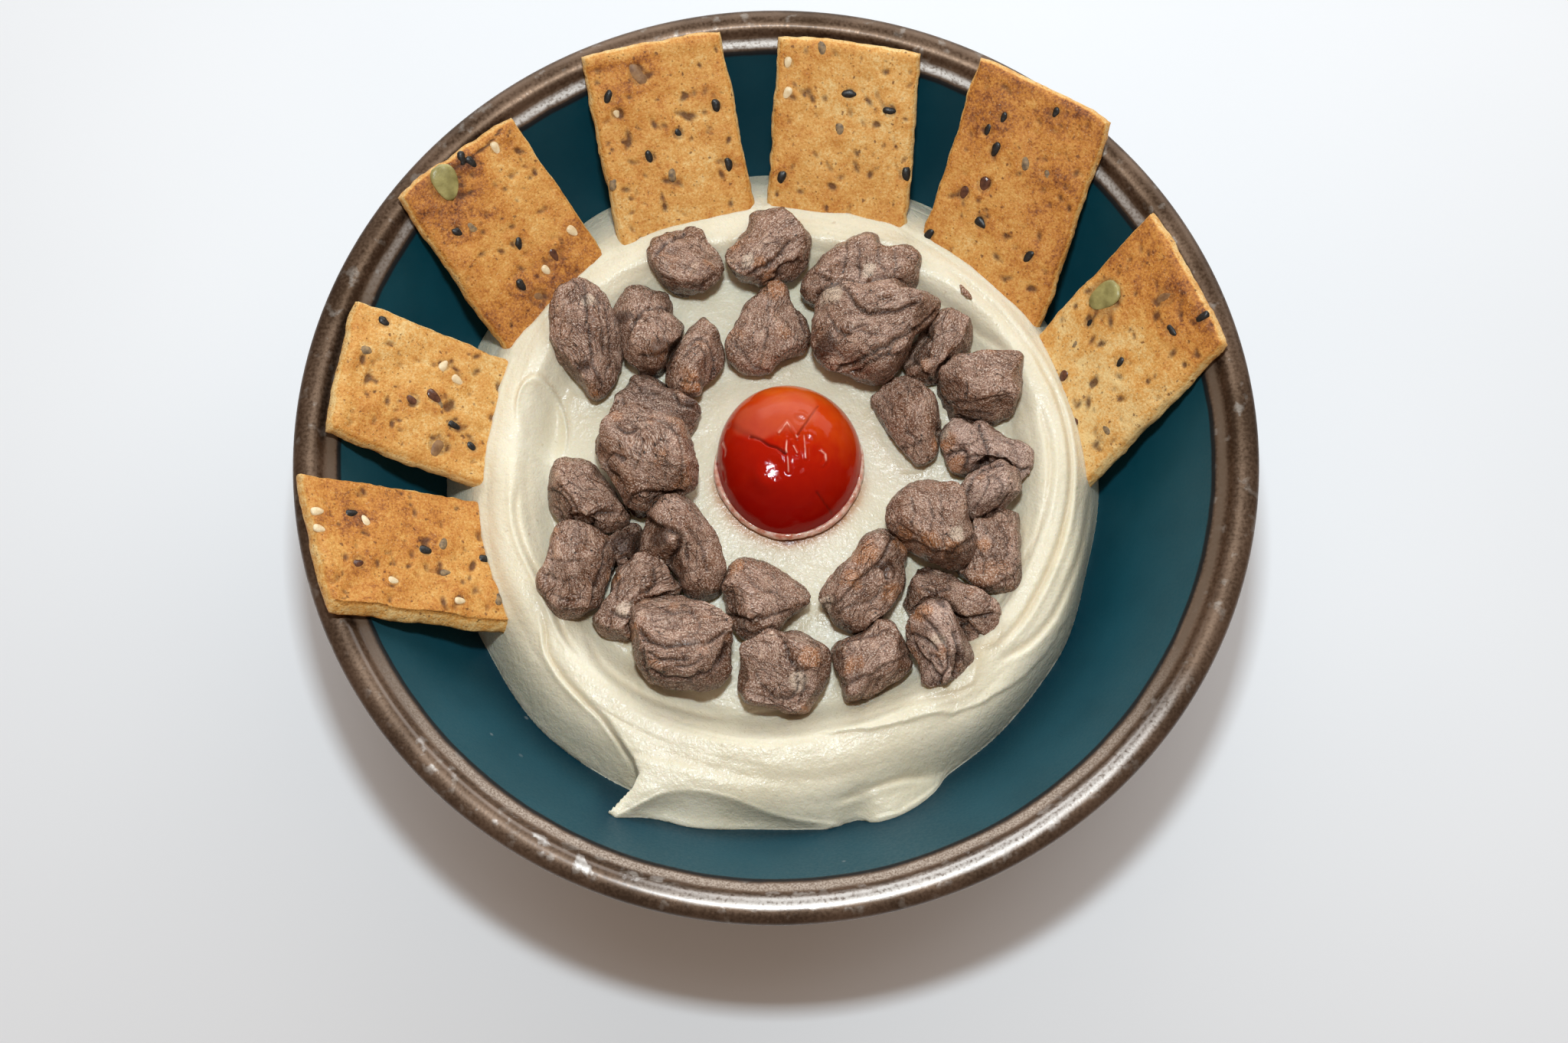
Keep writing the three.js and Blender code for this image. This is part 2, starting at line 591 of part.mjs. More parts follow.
// Adds a named mesh whose geometry is in its own frame.
function place(name, geometry, material, frame) {
  const mesh = new THREE.Mesh(geometry, material);
  mesh.name = name;
  mesh.applyMatrix4(frame);
  hummusBowl.add(mesh);
}

function placedSolid(geometry, frame) {
  return solidOf(geometry).transform(frame.elements);
}

const identity = new THREE.Matrix4();
place('bowl', geometryOf(solidOf(bowlGeometry())), glaze, identity);

const crackerFrames = CRACKERS.map(leaningFrame);
const crackerRoom = CRACKERS.map((cracker, k) => (
  crackerSolid(cracker, k + 1, GAP).transform(crackerFrames[k].elements)));
CRACKERS.forEach((cracker, k) => {
  let solid = crackerSolid(cracker, k + 1, 0).transform(crackerFrames[k].elements);
  crackerRoom.slice(k + 1).forEach((room) => { solid = solid.subtract(room); });
  const home = crackerFrames[k].clone().invert();
  place(`cracker_${k + 1}`, geometryOf(solid.transform(home.elements)), biscuit, crackerFrames[k]);
});

const beefFrames = BEEF.map((chunk, k) => beefFrame(chunk, k + 1));
const beefRoom = BEEF.map(([, , length, width, height, , squareness], k) => (
  placedSolid(beefGeometry(length, width, height, squareness, k + 1, GAP), beefFrames[k])));
BEEF.forEach(([, , length, width, height, , squareness], k) => {
  let solid = placedSolid(beefGeometry(length, width, height, squareness, k + 1, 0), beefFrames[k]);
  beefRoom.slice(k + 1).forEach((room) => { solid = solid.subtract(room); });
  crackerRoom.forEach((room) => { solid = solid.subtract(room); });
  const home = beefFrames[k].clone().invert();
  const name = `beef_${String(k + 1).padStart(2, '0')}`;
  place(name, geometryOf(solid.transform(home.elements)), meat, beefFrames[k]);
});

place('tomato_half', geometryOf(solidOf(tomatoGeometry(0))), tomatoSkin, tomatoFrame());

let hummus = solidOf(hummusBlock()).intersect(solidOf(cavityGeometry()));
const rooms = [...crackerRoom, ...beefRoom, placedSolid(tomatoGeometry(GAP), tomatoFrame())];
rooms.forEach((room) => { hummus = hummus.subtract(room); });
place('hummus', geometryOf(hummus), dip, identity);

export default hummusBowl;
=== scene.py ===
"""Looks of the hummus bowl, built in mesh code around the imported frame.

Lengths are millimetres and angles are degrees, until a mesh is made in metres. Angle 0 is +X, and
270 is the front, where the hummus trails off in a tail.
"""

import math

import bpy
import numpy as np
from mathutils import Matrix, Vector
from mathutils.bvhtree import BVHTree


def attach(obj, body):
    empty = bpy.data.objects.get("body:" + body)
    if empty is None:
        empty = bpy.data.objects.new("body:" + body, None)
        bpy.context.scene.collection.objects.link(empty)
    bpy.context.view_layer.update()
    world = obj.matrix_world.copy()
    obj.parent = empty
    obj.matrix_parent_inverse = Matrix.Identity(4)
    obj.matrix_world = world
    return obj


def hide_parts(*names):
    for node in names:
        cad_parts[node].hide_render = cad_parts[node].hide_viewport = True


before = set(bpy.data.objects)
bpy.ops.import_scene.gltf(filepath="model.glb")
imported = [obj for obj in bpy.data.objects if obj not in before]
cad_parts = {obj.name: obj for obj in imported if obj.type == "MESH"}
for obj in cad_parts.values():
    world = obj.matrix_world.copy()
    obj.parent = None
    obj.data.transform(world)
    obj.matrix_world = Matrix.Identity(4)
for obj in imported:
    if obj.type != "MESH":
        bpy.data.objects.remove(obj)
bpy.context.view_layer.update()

MM = 0.001
GAP = 0.35

# ---- Numbers that vary smoothly ---------------------------------------------------------------


def smoothstep(low, high, x):
    t = np.clip((x - low) / (high - low), 0, 1)
    return t * t * (3 - 2 * t)


def bump_at(x, centre, width):
    """1 at the centre, fading to 0 a width or two away."""
    return np.exp(-(((x - centre) / width) ** 2))


def lattice(ix, iy, iz, seed):
    """Repeatable random value in [-1, 1] at whole-number places."""
    mask = 0xFFFFFFFF
    h = (ix * 374761393 + iy * 668265263 + iz * 2147483647 + seed * 1274126177) & mask
    h = ((h ^ (h >> 13)) * 1274126177) & mask
    h = ((h ^ (h >> 16)) * 2246822519) & mask
    return ((h >> 8) & 0xFFFF) / 32767.5 - 1


def noise(points, size, seed=0):
    """Smooth noise in [-1, 1] whose bumps are about size across; size may differ along each axis."""
    q = points / np.asarray(size, float) + 512.37
    cell = np.floor(q).astype(np.int64)
    f = q - cell
    f = f * f * (3 - 2 * f)
    total = np.zeros(len(points))
    for corner in range(8):
        step = np.array([corner & 1, corner >> 1 & 1, corner >> 2])
        weight = np.prod(np.where(step, f, 1 - f), axis=1)
        total += weight * lattice(*(cell + step).T, seed)
    return total


def hermite(x, xs, ys):
    """Smooth curve through the points (xs, ys), level beyond its ends."""
    xs, ys = np.asarray(xs, float), np.asarray(ys, float)
    slope = np.gradient(ys, xs)
    x = np.clip(x, xs[0], xs[-1])
    k = np.clip(np.searchsorted(xs, x, "right") - 1, 0, len(xs) - 2)
    h = xs[k + 1] - xs[k]
    t = (x - xs[k]) / h
    start = (2 * t ** 3 - 3 * t ** 2 + 1) * ys[k] + (t ** 3 - 2 * t ** 2 + t) * h * slope[k]
    end = (3 * t ** 2 - 2 * t ** 3) * ys[k + 1] + (t ** 3 - t ** 2) * h * slope[k + 1]
    return start + end


# ---- Meshes -----------------------------------------------------------------------------------


def ring_quads(rows, columns):
    """Quads between neighbouring rings of points."""
    k, i = np.meshgrid(np.arange(rows - 1), np.arange(columns), indexing="ij")
    j = (i + 1) % columns
    quads = np.stack([k * columns + i, k * columns + j, (k + 1) * columns + j, (k + 1) * columns + i], -1)
    return quads.reshape(-1, 4)


def skin_of_rings(rings, start, end):
    """Points and faces of a closed skin: rings of points between a start and an end point."""
    rows, columns, _ = rings.shape
    points = np.concatenate([rings.reshape(-1, 3), [start, end]])
    i = np.arange(columns)
    j = (i + 1) % columns
    last = (rows - 1) * columns
    first_fan = np.stack([np.full(columns, rows * columns), j, i], -1)
    last_fan = np.stack([np.full(columns, rows * columns + 1), last + i, last + j], -1)
    return points, ring_quads(rows, columns).tolist() + first_fan.tolist() + last_fan.tolist()


def joined(parts):
    """Several (points, faces) as one."""
    points, faces, count = [], [], 0
    for part_points, part_faces in parts:
        points.append(part_points)
        faces += [[count + i for i in face] for face in part_faces]
        count += len(part_points)
    return np.concatenate(points), faces


def make_piece(name, points, faces, material, slot, values, vectors=None):
    """A smooth mesh object from points in millimetres, riding on the object's body. Values belong to
    the first points in order, and are 0 at the rest."""
    mesh = bpy.data.meshes.new(name)
    mesh.from_pydata((np.asarray(points) * MM).tolist(), [], faces)
    for key, value in values.items():
        layer = mesh.attributes.new(key, "FLOAT", "POINT")
        value = np.pad(value, (0, len(points) - len(value)))
        layer.data.foreach_set("value", value.astype(np.float32))
    for key, value in (vectors or {}).items():
        layer = mesh.attributes.new(key, "FLOAT_VECTOR", "POINT")
        layer.data.foreach_set("vector", (value * MM).astype(np.float32).ravel())
    mesh.polygons.foreach_set("use_smooth", [True] * len(mesh.polygons))
    mesh.materials.append(material)
    mesh.update()
    piece = bpy.data.objects.new(name, mesh)
    bpy.context.scene.collection.objects.link(piece)
    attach(piece, "root")
    return piece


# ---- Materials --------------------------------------------------------------------------------

# Direction in which the rim's painted highlight lies.
HIGHLIGHT_SIDE = (0.342, -0.94, 0.0)


class Wire:
    """The output of a node. Arithmetic on it adds nodes to its material."""

    def __init__(self, finish, socket):
        self.finish = finish
        self.socket = socket

    def __add__(self, other):
        return self.finish.math("ADD", self, other)

    def __sub__(self, other):
        return self.finish.math("SUBTRACT", self, other)

    def __mul__(self, other):
        return self.finish.math("MULTIPLY", self, other)

    def most(self, other):
        """The larger of two values."""
        return self.finish.math("MAXIMUM", self, other)

    def spread(self, low, high, to_low=0.0, to_high=1.0):
        """Value moved from the range low..high to to_low..to_high, and kept within it."""
        inputs = {"Value": self, "From Min": low, "From Max": high, "To Min": to_low, "To Max": to_high}
        return self.finish.node("MapRange", inputs)

    def ramp(self, *stops):
        """Colour along (position, (red, green, blue)) stops."""
        made = self.finish.node("ValToRGB", {"Fac": self}, "Color")
        elements = made.socket.node.color_ramp.elements
        while len(elements) < len(stops):
            elements.new(0.5)
        for element, (position, colour) in zip(elements, stops):
            element.position = position
            element.color = (*colour, 1)
        return made

    def layered(self, *layers):
        """This colour with (share, colour) layers over it, the last on top."""
        colour = self
        for share, other in layers:
            colour = self.finish.mix(share, colour, other)
        return colour


class Finish:
    """A procedural material, made of a Principled shader and the nodes that feed it."""

    def __init__(self, name, **constants):
        self.material = bpy.data.materials.new(name)
        self.material.use_nodes = True
        self.tree = self.material.node_tree
        self.shader = self.tree.nodes["Principled BSDF"]
        self.place = self.node("TexCoord", {}, "Object")
        for key, value in constants.items():
            self.shader.inputs[key.replace("_", " ")].default_value = value

    def node(self, kind, inputs, output=0, **settings):
        """Output of a new node, fed by wires, numbers, vectors and colours."""
        made = self.tree.nodes.new("ShaderNode" + kind)
        for key, value in settings.items():
            setattr(made, key, value)
        for key, value in inputs.items():
            socket = made.inputs[key]
            if isinstance(value, Wire):
                self.tree.links.new(value.socket, socket)
            else:
                socket.default_value = (*value, 1) if socket.type == "RGBA" else value
        return Wire(self, made.outputs[output])

    def math(self, operation, a, b):
        return self.node("Math", {0: a, 1: b}, operation=operation)

    def mix(self, share, a, b):
        """Colour a with a share of colour b over it."""
        return self.node("Mix", {"Factor": share, 6: a, 7: b}, 2, data_type="RGBA")

    def attribute(self, name, output="Fac"):
        return self.node("Attribute", {}, output, attribute_name=name)

    def grain(self, size, detail=2.0, place=None, stretch=None):
        """Noise from 0 to 1 with bumps about size millimetres across."""
        place = place or self.place
        if stretch:
            place = self.node("Mapping", {"Vector": place, "Scale": stretch})
        return self.node("TexNoise", {"Vector": place, "Scale": 1 / (size * MM), "Detail": detail}, "Fac")

    def cells(self, size, place=None, **settings):
        """Distance within cells about size millimetres across."""
        inputs = {"Vector": place or self.place, "Scale": 1 / (size * MM)}
        return self.node("TexVoronoi", inputs, "Distance", **settings)

    def bump(self, height, depth, under=None):
        """Relief depth millimetres deep where height goes from 0 to 1."""
        inputs = {"Height": height, "Strength": 1.0, "Distance": depth * MM}
        if under:
            inputs["Normal"] = under
        return self.node("Bump", inputs)

    def to(self, **wires):
        """Feeds the shader's inputs and returns the material."""
        for key, wire in wires.items():
            self.tree.links.new(wire.socket, self.shader.inputs[key.replace("_", " ")])
        return self.material


def glaze_finish():
    """Satin teal inside, darker towards the back as painted shade, lighter at the front and near the rim
    as painted sheen, with a painted shadow by the hummus's front edge; a dark line at its edge; a bevel
    painted sandy at the front as a reflection; and brown lustre outside it, with a painted highlight on
    the bead's crest at the front and on the bevel at the back.
    """
    finish = Finish("bowl_glaze", Coat_Roughness=0.22, Specular_IOR_Level=0.2)
    edge = finish.attribute("from_edge") + finish.grain(9.0, 3.0).spread(0.3, 0.7, -0.2, 0.2)
    mottle = finish.grain(0.7, 4.0)
    patches = finish.grain(14.0, 3.0)
    away = finish.node("SeparateXYZ", {"Vector": finish.place}, "Y")
    front = away.spread(-0.045, -0.082)

    # Painted sheen: the teal is lighter near the rim towards the front, and lighter at the front.
    high = edge.spread(-24.0, -6.0) * away.spread(0.03, -0.01, 0.0, 0.2)
    painted_sheen = (away.spread(-0.03, -0.09) * 0.25).most(high)
    # Teal with painted shade towards the back, the painted sheen, and a painted shadow by the hummus's
    # front edge (the shade attribute).
    teal = patches.ramp((0.3, (0.003, 0.052, 0.072)), (0.7, (0.006, 0.066, 0.090))).layered(
        (away.spread(0.0, 0.09) * 0.5, (0.001, 0.020, 0.032)),
        (painted_sheen, (0.062, 0.121, 0.130)),
        (finish.attribute("shade") * 0.85, (0.001, 0.030, 0.050)))

    bevel = edge.spread(1.9, 2.4) * edge.spread(4.4, 3.6)
    # The bevel is sandy at the front, where this is a painted reflection, and dark brown elsewhere.
    sandy_reflection = finish.mix(finish.grain(0.4, 3.0).spread(0.35, 0.65), (0.20, 0.135, 0.09), (0.50, 0.40, 0.32))
    sandy_reflection = finish.mix(front, (0.12, 0.078, 0.050), sandy_reflection)
    # Painted highlight: a silvery band along the bead's crest on the front right, a light bevel at the
    # back, and silvery flecks on the front rim.
    facing = finish.node("VectorMath", {0: finish.place, 1: HIGHLIGHT_SIDE}, "Value", operation="DOT_PRODUCT")
    crest = edge.spread(5.2, 6.4) * edge.spread(9.4, 8.2) * facing.spread(0.078, 0.094)
    back_highlight = bevel * away.spread(0.03, 0.07)
    highlight_flecks = finish.grain(5.0, 4.0).spread(0.58, 0.64) * edge.spread(4.0, 5.0)
    highlight_flecks = highlight_flecks * edge.spread(10.5, 8.5, 0.0, 0.8) * front
    painted_highlight = (crest.most(back_highlight) * mottle.spread(0.30, 0.55, 0.3, 1.0)).most(highlight_flecks)
    water = finish.grain(4.0, 4.0).spread(0.60, 0.68) * edge.spread(20.0, 12.0, 0.06, 0.30)
    brown = patches + mottle.spread(0.3, 0.7, -0.14, 0.14)
    # Brown lustre, with water marks, the bevel's painted reflection and the painted highlight laid over
    # it.
    lustre_with_highlight = brown.ramp((0.3, (0.070, 0.041, 0.024)), (0.7, (0.155, 0.098, 0.064))).layered(
        (water, (0.40, 0.37, 0.33)), (bevel * 0.85, sandy_reflection), (painted_highlight * 0.7, (0.58, 0.54, 0.50)))

    rim = edge.spread(0.9, 1.5)
    line = edge.spread(0.0, 0.6) * edge.spread(2.0, 1.4)
    marks = finish.cells(6.5).spread(0.10, 0.05) * finish.grain(30.0).spread(0.55, 0.66)
    marks = marks * edge.spread(16.0, 12.0)
    colour = teal.layered((rim, lustre_with_highlight), (line * 0.92, (0.008, 0.007, 0.007)),
                          (marks * 0.35, (0.5, 0.5, 0.48)))
    beyond = edge.spread(3.8, 5.0)
    shiny = beyond * away.spread(0.03, -0.06, 0.1, 0.7)
    glossy = bevel * away.spread(0.0, 0.05, 0.1, 0.9)
    return finish.to(Base_Color=colour, Roughness=mottle.spread(0.3, 0.7, 0.32, 0.56),
                     Metallic=beyond.most(back_highlight) * 0.85, Coat_Weight=shiny.most(glossy),
                     Normal=finish.bump(mottle * rim, 0.035))


def hummus_finish():
    """Specked cream, browner in its grooves as painted shade, stained by the beef's juice with painted
    shade round the beef, and stained by the tomato's oil with a painted shadow at the tomato's edge.
    """
    finish = Finish("hummus_cream", Subsurface_Weight=0.22, Subsurface_Scale=0.004,
                    Subsurface_Radius=(1.0, 0.7, 0.4), Specular_IOR_Level=0.45)
    juice_and_shade = finish.attribute("juice_and_shade")
    oil_and_shadow = finish.attribute("oil_and_shadow")
    cream = finish.grain(16.0, 3.0).ramp((0.3, (0.77, 0.69, 0.505)), (0.7, (0.84, 0.765, 0.59))).layered(
        (finish.grain(0.9, 3.0).spread(0.35, 0.7, 0.0, 0.10), (0.62, 0.52, 0.34)),
        (finish.attribute("groove_shade") * 0.45, (0.62, 0.47, 0.27)),
        (juice_and_shade, (0.46, 0.33, 0.18)),
        # The tomato's oil stain; its darkest band, next to the tomato, is a painted shadow.
        (oil_and_shadow * 0.95, (0.50, 0.19, 0.05)),
        (oil_and_shadow.spread(0.75, 0.95), (0.20, 0.045, 0.012)),
        (finish.grain(1.6, 1.0).spread(0.76, 0.79) * 0.35, (0.45, 0.33, 0.18)))
    wet = juice_and_shade + oil_and_shadow * 0.3
    rough = finish.grain(0.7, 2.0).spread(0.3, 0.7, 0.24, 0.46) - wet * 0.2
    relief = finish.bump(finish.grain(0.55, 2.0), 0.11, finish.bump(finish.grain(1.8, 3.0), 0.22))
    return finish.to(Base_Color=cream, Roughness=rough, Normal=relief)


def cracker_finish():
    """Baked crust from pale to brown, with flour, bran, pores, nicks and pits, and painted shade round the
    seeds and in the cracks.
    """
    finish = Finish("cracker_crust", Roughness=0.62, Specular_IOR_Level=0.35)
    local = finish.attribute("crust_place", "Vector")
    toast = finish.attribute("toast")
    for size, detail, change in ((4.5, 3.0, 0.12), (1.6, 4.0, 0.11), (0.55, 3.0, 0.17)):
        toast = toast + finish.grain(size, detail, local).spread(0.3, 0.7, -change, change)
    flour = finish.grain(0.35, 1.0, local).spread(0.66, 0.74)
    bran = finish.grain(0.9, 1.0, local).spread(0.71, 0.76)
    pore = finish.cells(1.1, local).spread(0.22, 0.10) * finish.grain(2.4, 2.0, local).spread(0.42, 0.58)
    bent = finish.node("TexNoise", {"Vector": local, "Scale": 900.0, "Detail": 2.0}, "Color")
    bent = finish.node("VectorMath", {0: bent, "Scale": 1.2 * MM}, operation="SCALE")
    bent = finish.node("VectorMath", {0: bent, 1: local}, operation="ADD")
    nick = finish.cells(2.6, bent).spread(0.17, 0.11) * finish.grain(5.0, 2.0, local).spread(0.46, 0.52)
    crust = toast.ramp((0.0, (0.82, 0.56, 0.235)), (0.3, (0.70, 0.353, 0.088)),
                       (0.6, (0.545, 0.206, 0.033)), (0.85, (0.29, 0.09, 0.018)),
                       (1.0, (0.12, 0.035, 0.010))).layered(
        (flour * 0.30, (0.86, 0.68, 0.42)),
        (bran * 0.5, (0.16, 0.06, 0.02)),
        (pore * 0.55, (0.24, 0.085, 0.022)),
        (nick * 0.75, (0.13, 0.042, 0.012)),
        (finish.attribute("pit_and_shade").spread(0.15, 0.65) * 0.85, (0.085, 0.027, 0.009)))
    coarse = finish.bump(finish.grain(1.3, 3.0, local), 0.24)
    fine = finish.bump(finish.grain(0.45, 3.0, local), 0.20, coarse)
    relief = finish.bump(finish.math("SUBTRACT", 1.0, pore), 0.12, fine)
    return finish.to(Base_Color=crust, Normal=relief)


def beef_finish():
    """Roast beef from brown to pink, with fibres along each chunk, pores, pepper and dark cracks; the
    cracks, folds, lower parts and sides are darkened by painted shade, the sides also by searing, and one
    fat spot is a painted highlight.
    """
    finish = Finish("beef_roast", Subsurface_Weight=0.05, Subsurface_Scale=0.002, Specular_IOR_Level=0.42)
    local = finish.attribute("grain_place", "Vector")
    tone = finish.attribute("tone")
    fibre = finish.grain(0.5, 3.0, local, (0.12, 1.0, 1.0))
    fine = finish.grain(0.30, 2.0, local)
    stretched = finish.node("Mapping", {"Vector": local, "Scale": (0.5, 1.0, 1.0)})
    net = finish.cells(1.7, stretched, feature="DISTANCE_TO_EDGE").spread(0.075, 0.02)
    net = net * finish.grain(4.0, 2.0, local).spread(0.42, 0.60)
    pore = finish.cells(0.75, local).spread(0.24, 0.12) * finish.grain(3.0, 2.0, local).spread(0.40, 0.55)
    pepper = finish.cells(1.7, local).spread(0.17, 0.12) * finish.grain(6.0, 2.0, local).spread(0.44, 0.52)
    cloud = finish.grain(3.6, 3.0, local).ramp(
        (0.28, (0.15, 0.060, 0.029)), (0.45, (0.250, 0.122, 0.069)),
        (0.60, (0.355, 0.197, 0.132)), (0.75, (0.52, 0.320, 0.212)))
    meat = cloud.layered(
        (tone.spread(0.0, 1.0, 0.0, 0.6), (0.56, 0.385, 0.315)),
        (tone.spread(0.0, -1.0, 0.0, 0.6), (0.115, 0.066, 0.048)),
        (finish.attribute("seared_and_shaded") * 0.85, (0.150, 0.058, 0.026)),
        (finish.attribute("browned") * 0.85, (0.42, 0.165, 0.058)),
        (finish.attribute("fat_and_highlight") * 0.9, (0.70, 0.53, 0.39)),
        (fibre.spread(0.52, 0.62, 0.0, 0.26), (0.64, 0.47, 0.36)),
        (fibre.spread(0.47, 0.38, 0.0, 0.30), (0.080, 0.032, 0.016)),
        (fine.spread(0.54, 0.64, 0.0, 0.65), (0.80, 0.62, 0.50)),
        (fine.spread(0.44, 0.34, 0.0, 0.75), (0.060, 0.024, 0.012)),
        (net * 0.42, (0.055, 0.020, 0.010)),
        (pore * 0.6, (0.050, 0.022, 0.012)),
        (finish.attribute("crack_and_shade") * 0.85, (0.030, 0.010, 0.005)),
        (pepper * 0.85, (0.014, 0.010, 0.008)))
    rough = finish.grain(1.6, 3.0, local).spread(0.35, 0.65, 0.14, 0.40)
    relief = finish.bump(fine, 0.26, finish.bump(fibre - net, 0.24))
    return finish.to(Base_Color=meat, Roughness=rough, Normal=relief)


def tomato_finish():
    """Glossy skin from deep red to orange, with slits darkened by painted shade, loose patches, and pale
    lines of painted highlight along its folds.
    """
    finish = Finish("tomato_skin", Subsurface_Weight=0.10, Subsurface_Scale=0.003, Specular_IOR_Level=0.10)
    loose = finish.attribute("loose")
    skin_orange = finish.attribute("skin_orange") + finish.grain(3.0, 3.0).spread(0.3, 0.7, -0.06, 0.06)
    skin = skin_orange.ramp((0.0, (0.30, 0.003, 0.001)), (0.4, (0.40, 0.009, 0.001)),
                     (0.75, (0.52, 0.045, 0.003)), (1.0, (0.60, 0.100, 0.006))).layered(
        (loose * 0.2, (0.60, 0.20, 0.11)),
        (finish.attribute("slit_shade"), (0.10, 0.005, 0.003)),
        (finish.attribute("ridge_highlight") * 0.7, (0.95, 0.55, 0.42)))
    rough = finish.grain(1.6, 2.0).spread(0.3, 0.7, 0.05, 0.11) + loose * 0.12
    return finish.to(Base_Color=skin, Roughness=rough, Normal=finish.bump(finish.grain(0.8, 3.0), 0.03))


def flesh_finish():
    """The tomato's cut edge: pale, wet and a little see-through, darker on its underside as painted shade.
    """
    finish = Finish("tomato_flesh", Roughness=0.14, Subsurface_Weight=0.4, Subsurface_Scale=0.002)
    flesh = finish.grain(1.5, 3.0).ramp((0.35, (0.52, 0.17, 0.10)), (0.65, (0.82, 0.56, 0.44)))
    flesh = flesh.layered((finish.attribute("below"), (0.17, 0.020, 0.008)))
    return finish.to(Base_Color=flesh, Normal=finish.bump(finish.grain(0.6, 3.0), 0.08))


def seed_finish(kind):
    dark, light, roughness, patch = SEED_COLOURS[kind]
    finish = Finish(f"seed_{kind}", Roughness=roughness)
    tone = finish.grain(patch, 3.0).ramp((0.3, dark), (0.7, light))
    return finish.to(Base_Color=tone, Normal=finish.bump(finish.grain(0.5, 3.0), 0.06))


# ---- Places that the camera sees --------------------------------------------------------------

# The camera, and the size of the picture whose pixels are counted from its upper left corner.
CAMERA_PLACE = (0.001733, -0.150818, 0.490338)
CAMERA_TILT = 17.108
FOCAL_PIXELS, IMAGE_WIDTH, IMAGE_HEIGHT, SENSOR_WIDTH = 2720, 2048, 1362, 36

# Size of a pixel on the beef, in millimetres.
PIXEL_SIZE = 0.175


def rays_through(pixels):
    """The camera's place in millimetres, and its rays through pixels, each 1 downwards."""
    tilt = math.radians(CAMERA_TILT)
    right, down = (np.array(pixels, float) - [IMAGE_WIDTH / 2, IMAGE_HEIGHT / 2]).T / FOCAL_PIXELS
    rays = np.stack([right, math.sin(tilt) - down * math.cos(tilt),
                     -math.cos(tilt) - down * math.sin(tilt)], -1)
    return np.array(CAMERA_PLACE) / MM, rays / -rays[:, 2:]


def seen_at(pixels, height):
    """Places in plan, to a tenth of a millimetre, that pixels show at a height."""
    eye, rays = rays_through(pixels)
    return np.round((eye + rays * (eye[2] - height))[:, :2], 1)


def seen_on(pixels, name):
    """Places in plan that pixels show on a CAD node."""
    eye, rays = rays_through(pixels)
    places = seen_at(pixels, level_in(name, MISSED_LEVEL))
    tree = surface_near(name)
    for i, ray in enumerate(rays):
        hit = tree.ray_cast(Vector(eye), Vector(ray))[0]
        if hit is not None:
            places[i] = np.round(hit[:2], 1)
    return places


def level_in(name, share):
    """Height at a share of a CAD node's own height."""
    heights = [v.co.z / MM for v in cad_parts[name].data.vertices]
    return min(heights) + share * (max(heights) - min(heights))


# ---- Bowl -------------------------------------------------------------------------------------

FLOOR_RADIUS, FLOOR_HEIGHT = 42.0, 8.0
MOUTH_RADIUS, MOUTH_HEIGHT = 95.0, 59.5
WALL_CURVE = 1.85
SHELL_CURVE = 1.75
LIP_RADIUS, LIP_HEIGHT = 98.0, 64.6
FOOT_OUTER, FOOT_HEIGHT = 48.0, 3.2
SHELL_TOP = (99.0, 55.0)
FOOT_PROFILE = [(47.9, 1.4), (47.4, 0.4), (46.6, 0.0), (44.5, 0.0), (42.0, 0.0), (41.2, 0.3),
                (40.6, 1.4), (40.0, 2.7), (39.0, 3.2), (28.0, 3.2), (12.0, 3.2)]

# Points round the bowl, radii of the rings in its floor, and numbers of points up the wall,
# round the bead and down the shell.
BOWL_STEPS = 240
FLOOR_RINGS = (12, 24, 33, 39)
WALL_RINGS, BEAD_RINGS, SHELL_RINGS = 44, 14, 30
LIP_SMOOTHING = 16

# The lip: a bevel from the teal's edge, then a rounded bead, then down to the shell outside.
BEVEL = [(95.3, 60.2), (95.8, 61.0), (96.6, 61.45), (97.6, 61.85), (98.5, 62.4)]
BEAD_MIDDLE, BEAD_HALVES, BEAD_ENDS = (101.8, 62.6), (3.2, 2.0), (152, -55)
UNDER_BEAD = [(102.7, 59.1), (101.3, 57.5), (99.7, 55.9)]


def wall_height(r):
    """Height of the bowl's inner surface at radius r."""
    climb = np.clip((r - FLOOR_RADIUS) / (MOUTH_RADIUS - FLOOR_RADIUS), 0, None)
    return FLOOR_HEIGHT + (MOUTH_HEIGHT - FLOOR_HEIGHT) * climb ** WALL_CURVE


def bowl_profile():
    """(radius, height) from the middle of the floor, over the lip, to the middle underneath, and the
    number of the point at the teal's edge."""
    inside = [(r, FLOOR_HEIGHT) for r in FLOOR_RINGS]
    inside += [(r, wall_height(r)) for r in np.linspace(FLOOR_RADIUS, MOUTH_RADIUS, WALL_RINGS)]
    turn = np.radians(np.linspace(*BEAD_ENDS, BEAD_RINGS))
    bead = np.stack([np.cos(turn), np.sin(turn)], -1) * BEAD_HALVES + BEAD_MIDDLE
    lip = np.concatenate([BEVEL, bead, UNDER_BEAD])
    along = np.arange(len(lip))
    fine = np.linspace(0, len(lip) - 1, 3 * (len(lip) - 1) + 1)
    lip = np.stack([hermite(fine, along, lip[:, 0]), hermite(fine, along, lip[:, 1])], -1)
    for _ in range(LIP_SMOOTHING):
        lip[1:-1] = (lip[:-2] + 2 * lip[1:-1] + lip[2:]) / 4
    up = np.linspace(1, 0, SHELL_RINGS)
    shell = np.stack([FOOT_OUTER + (SHELL_TOP[0] - FOOT_OUTER) * up,
                      FOOT_HEIGHT + (SHELL_TOP[1] - FOOT_HEIGHT) * up ** SHELL_CURVE], -1)
    return np.concatenate([inside, lip, shell, FOOT_PROFILE]), len(inside) - 1


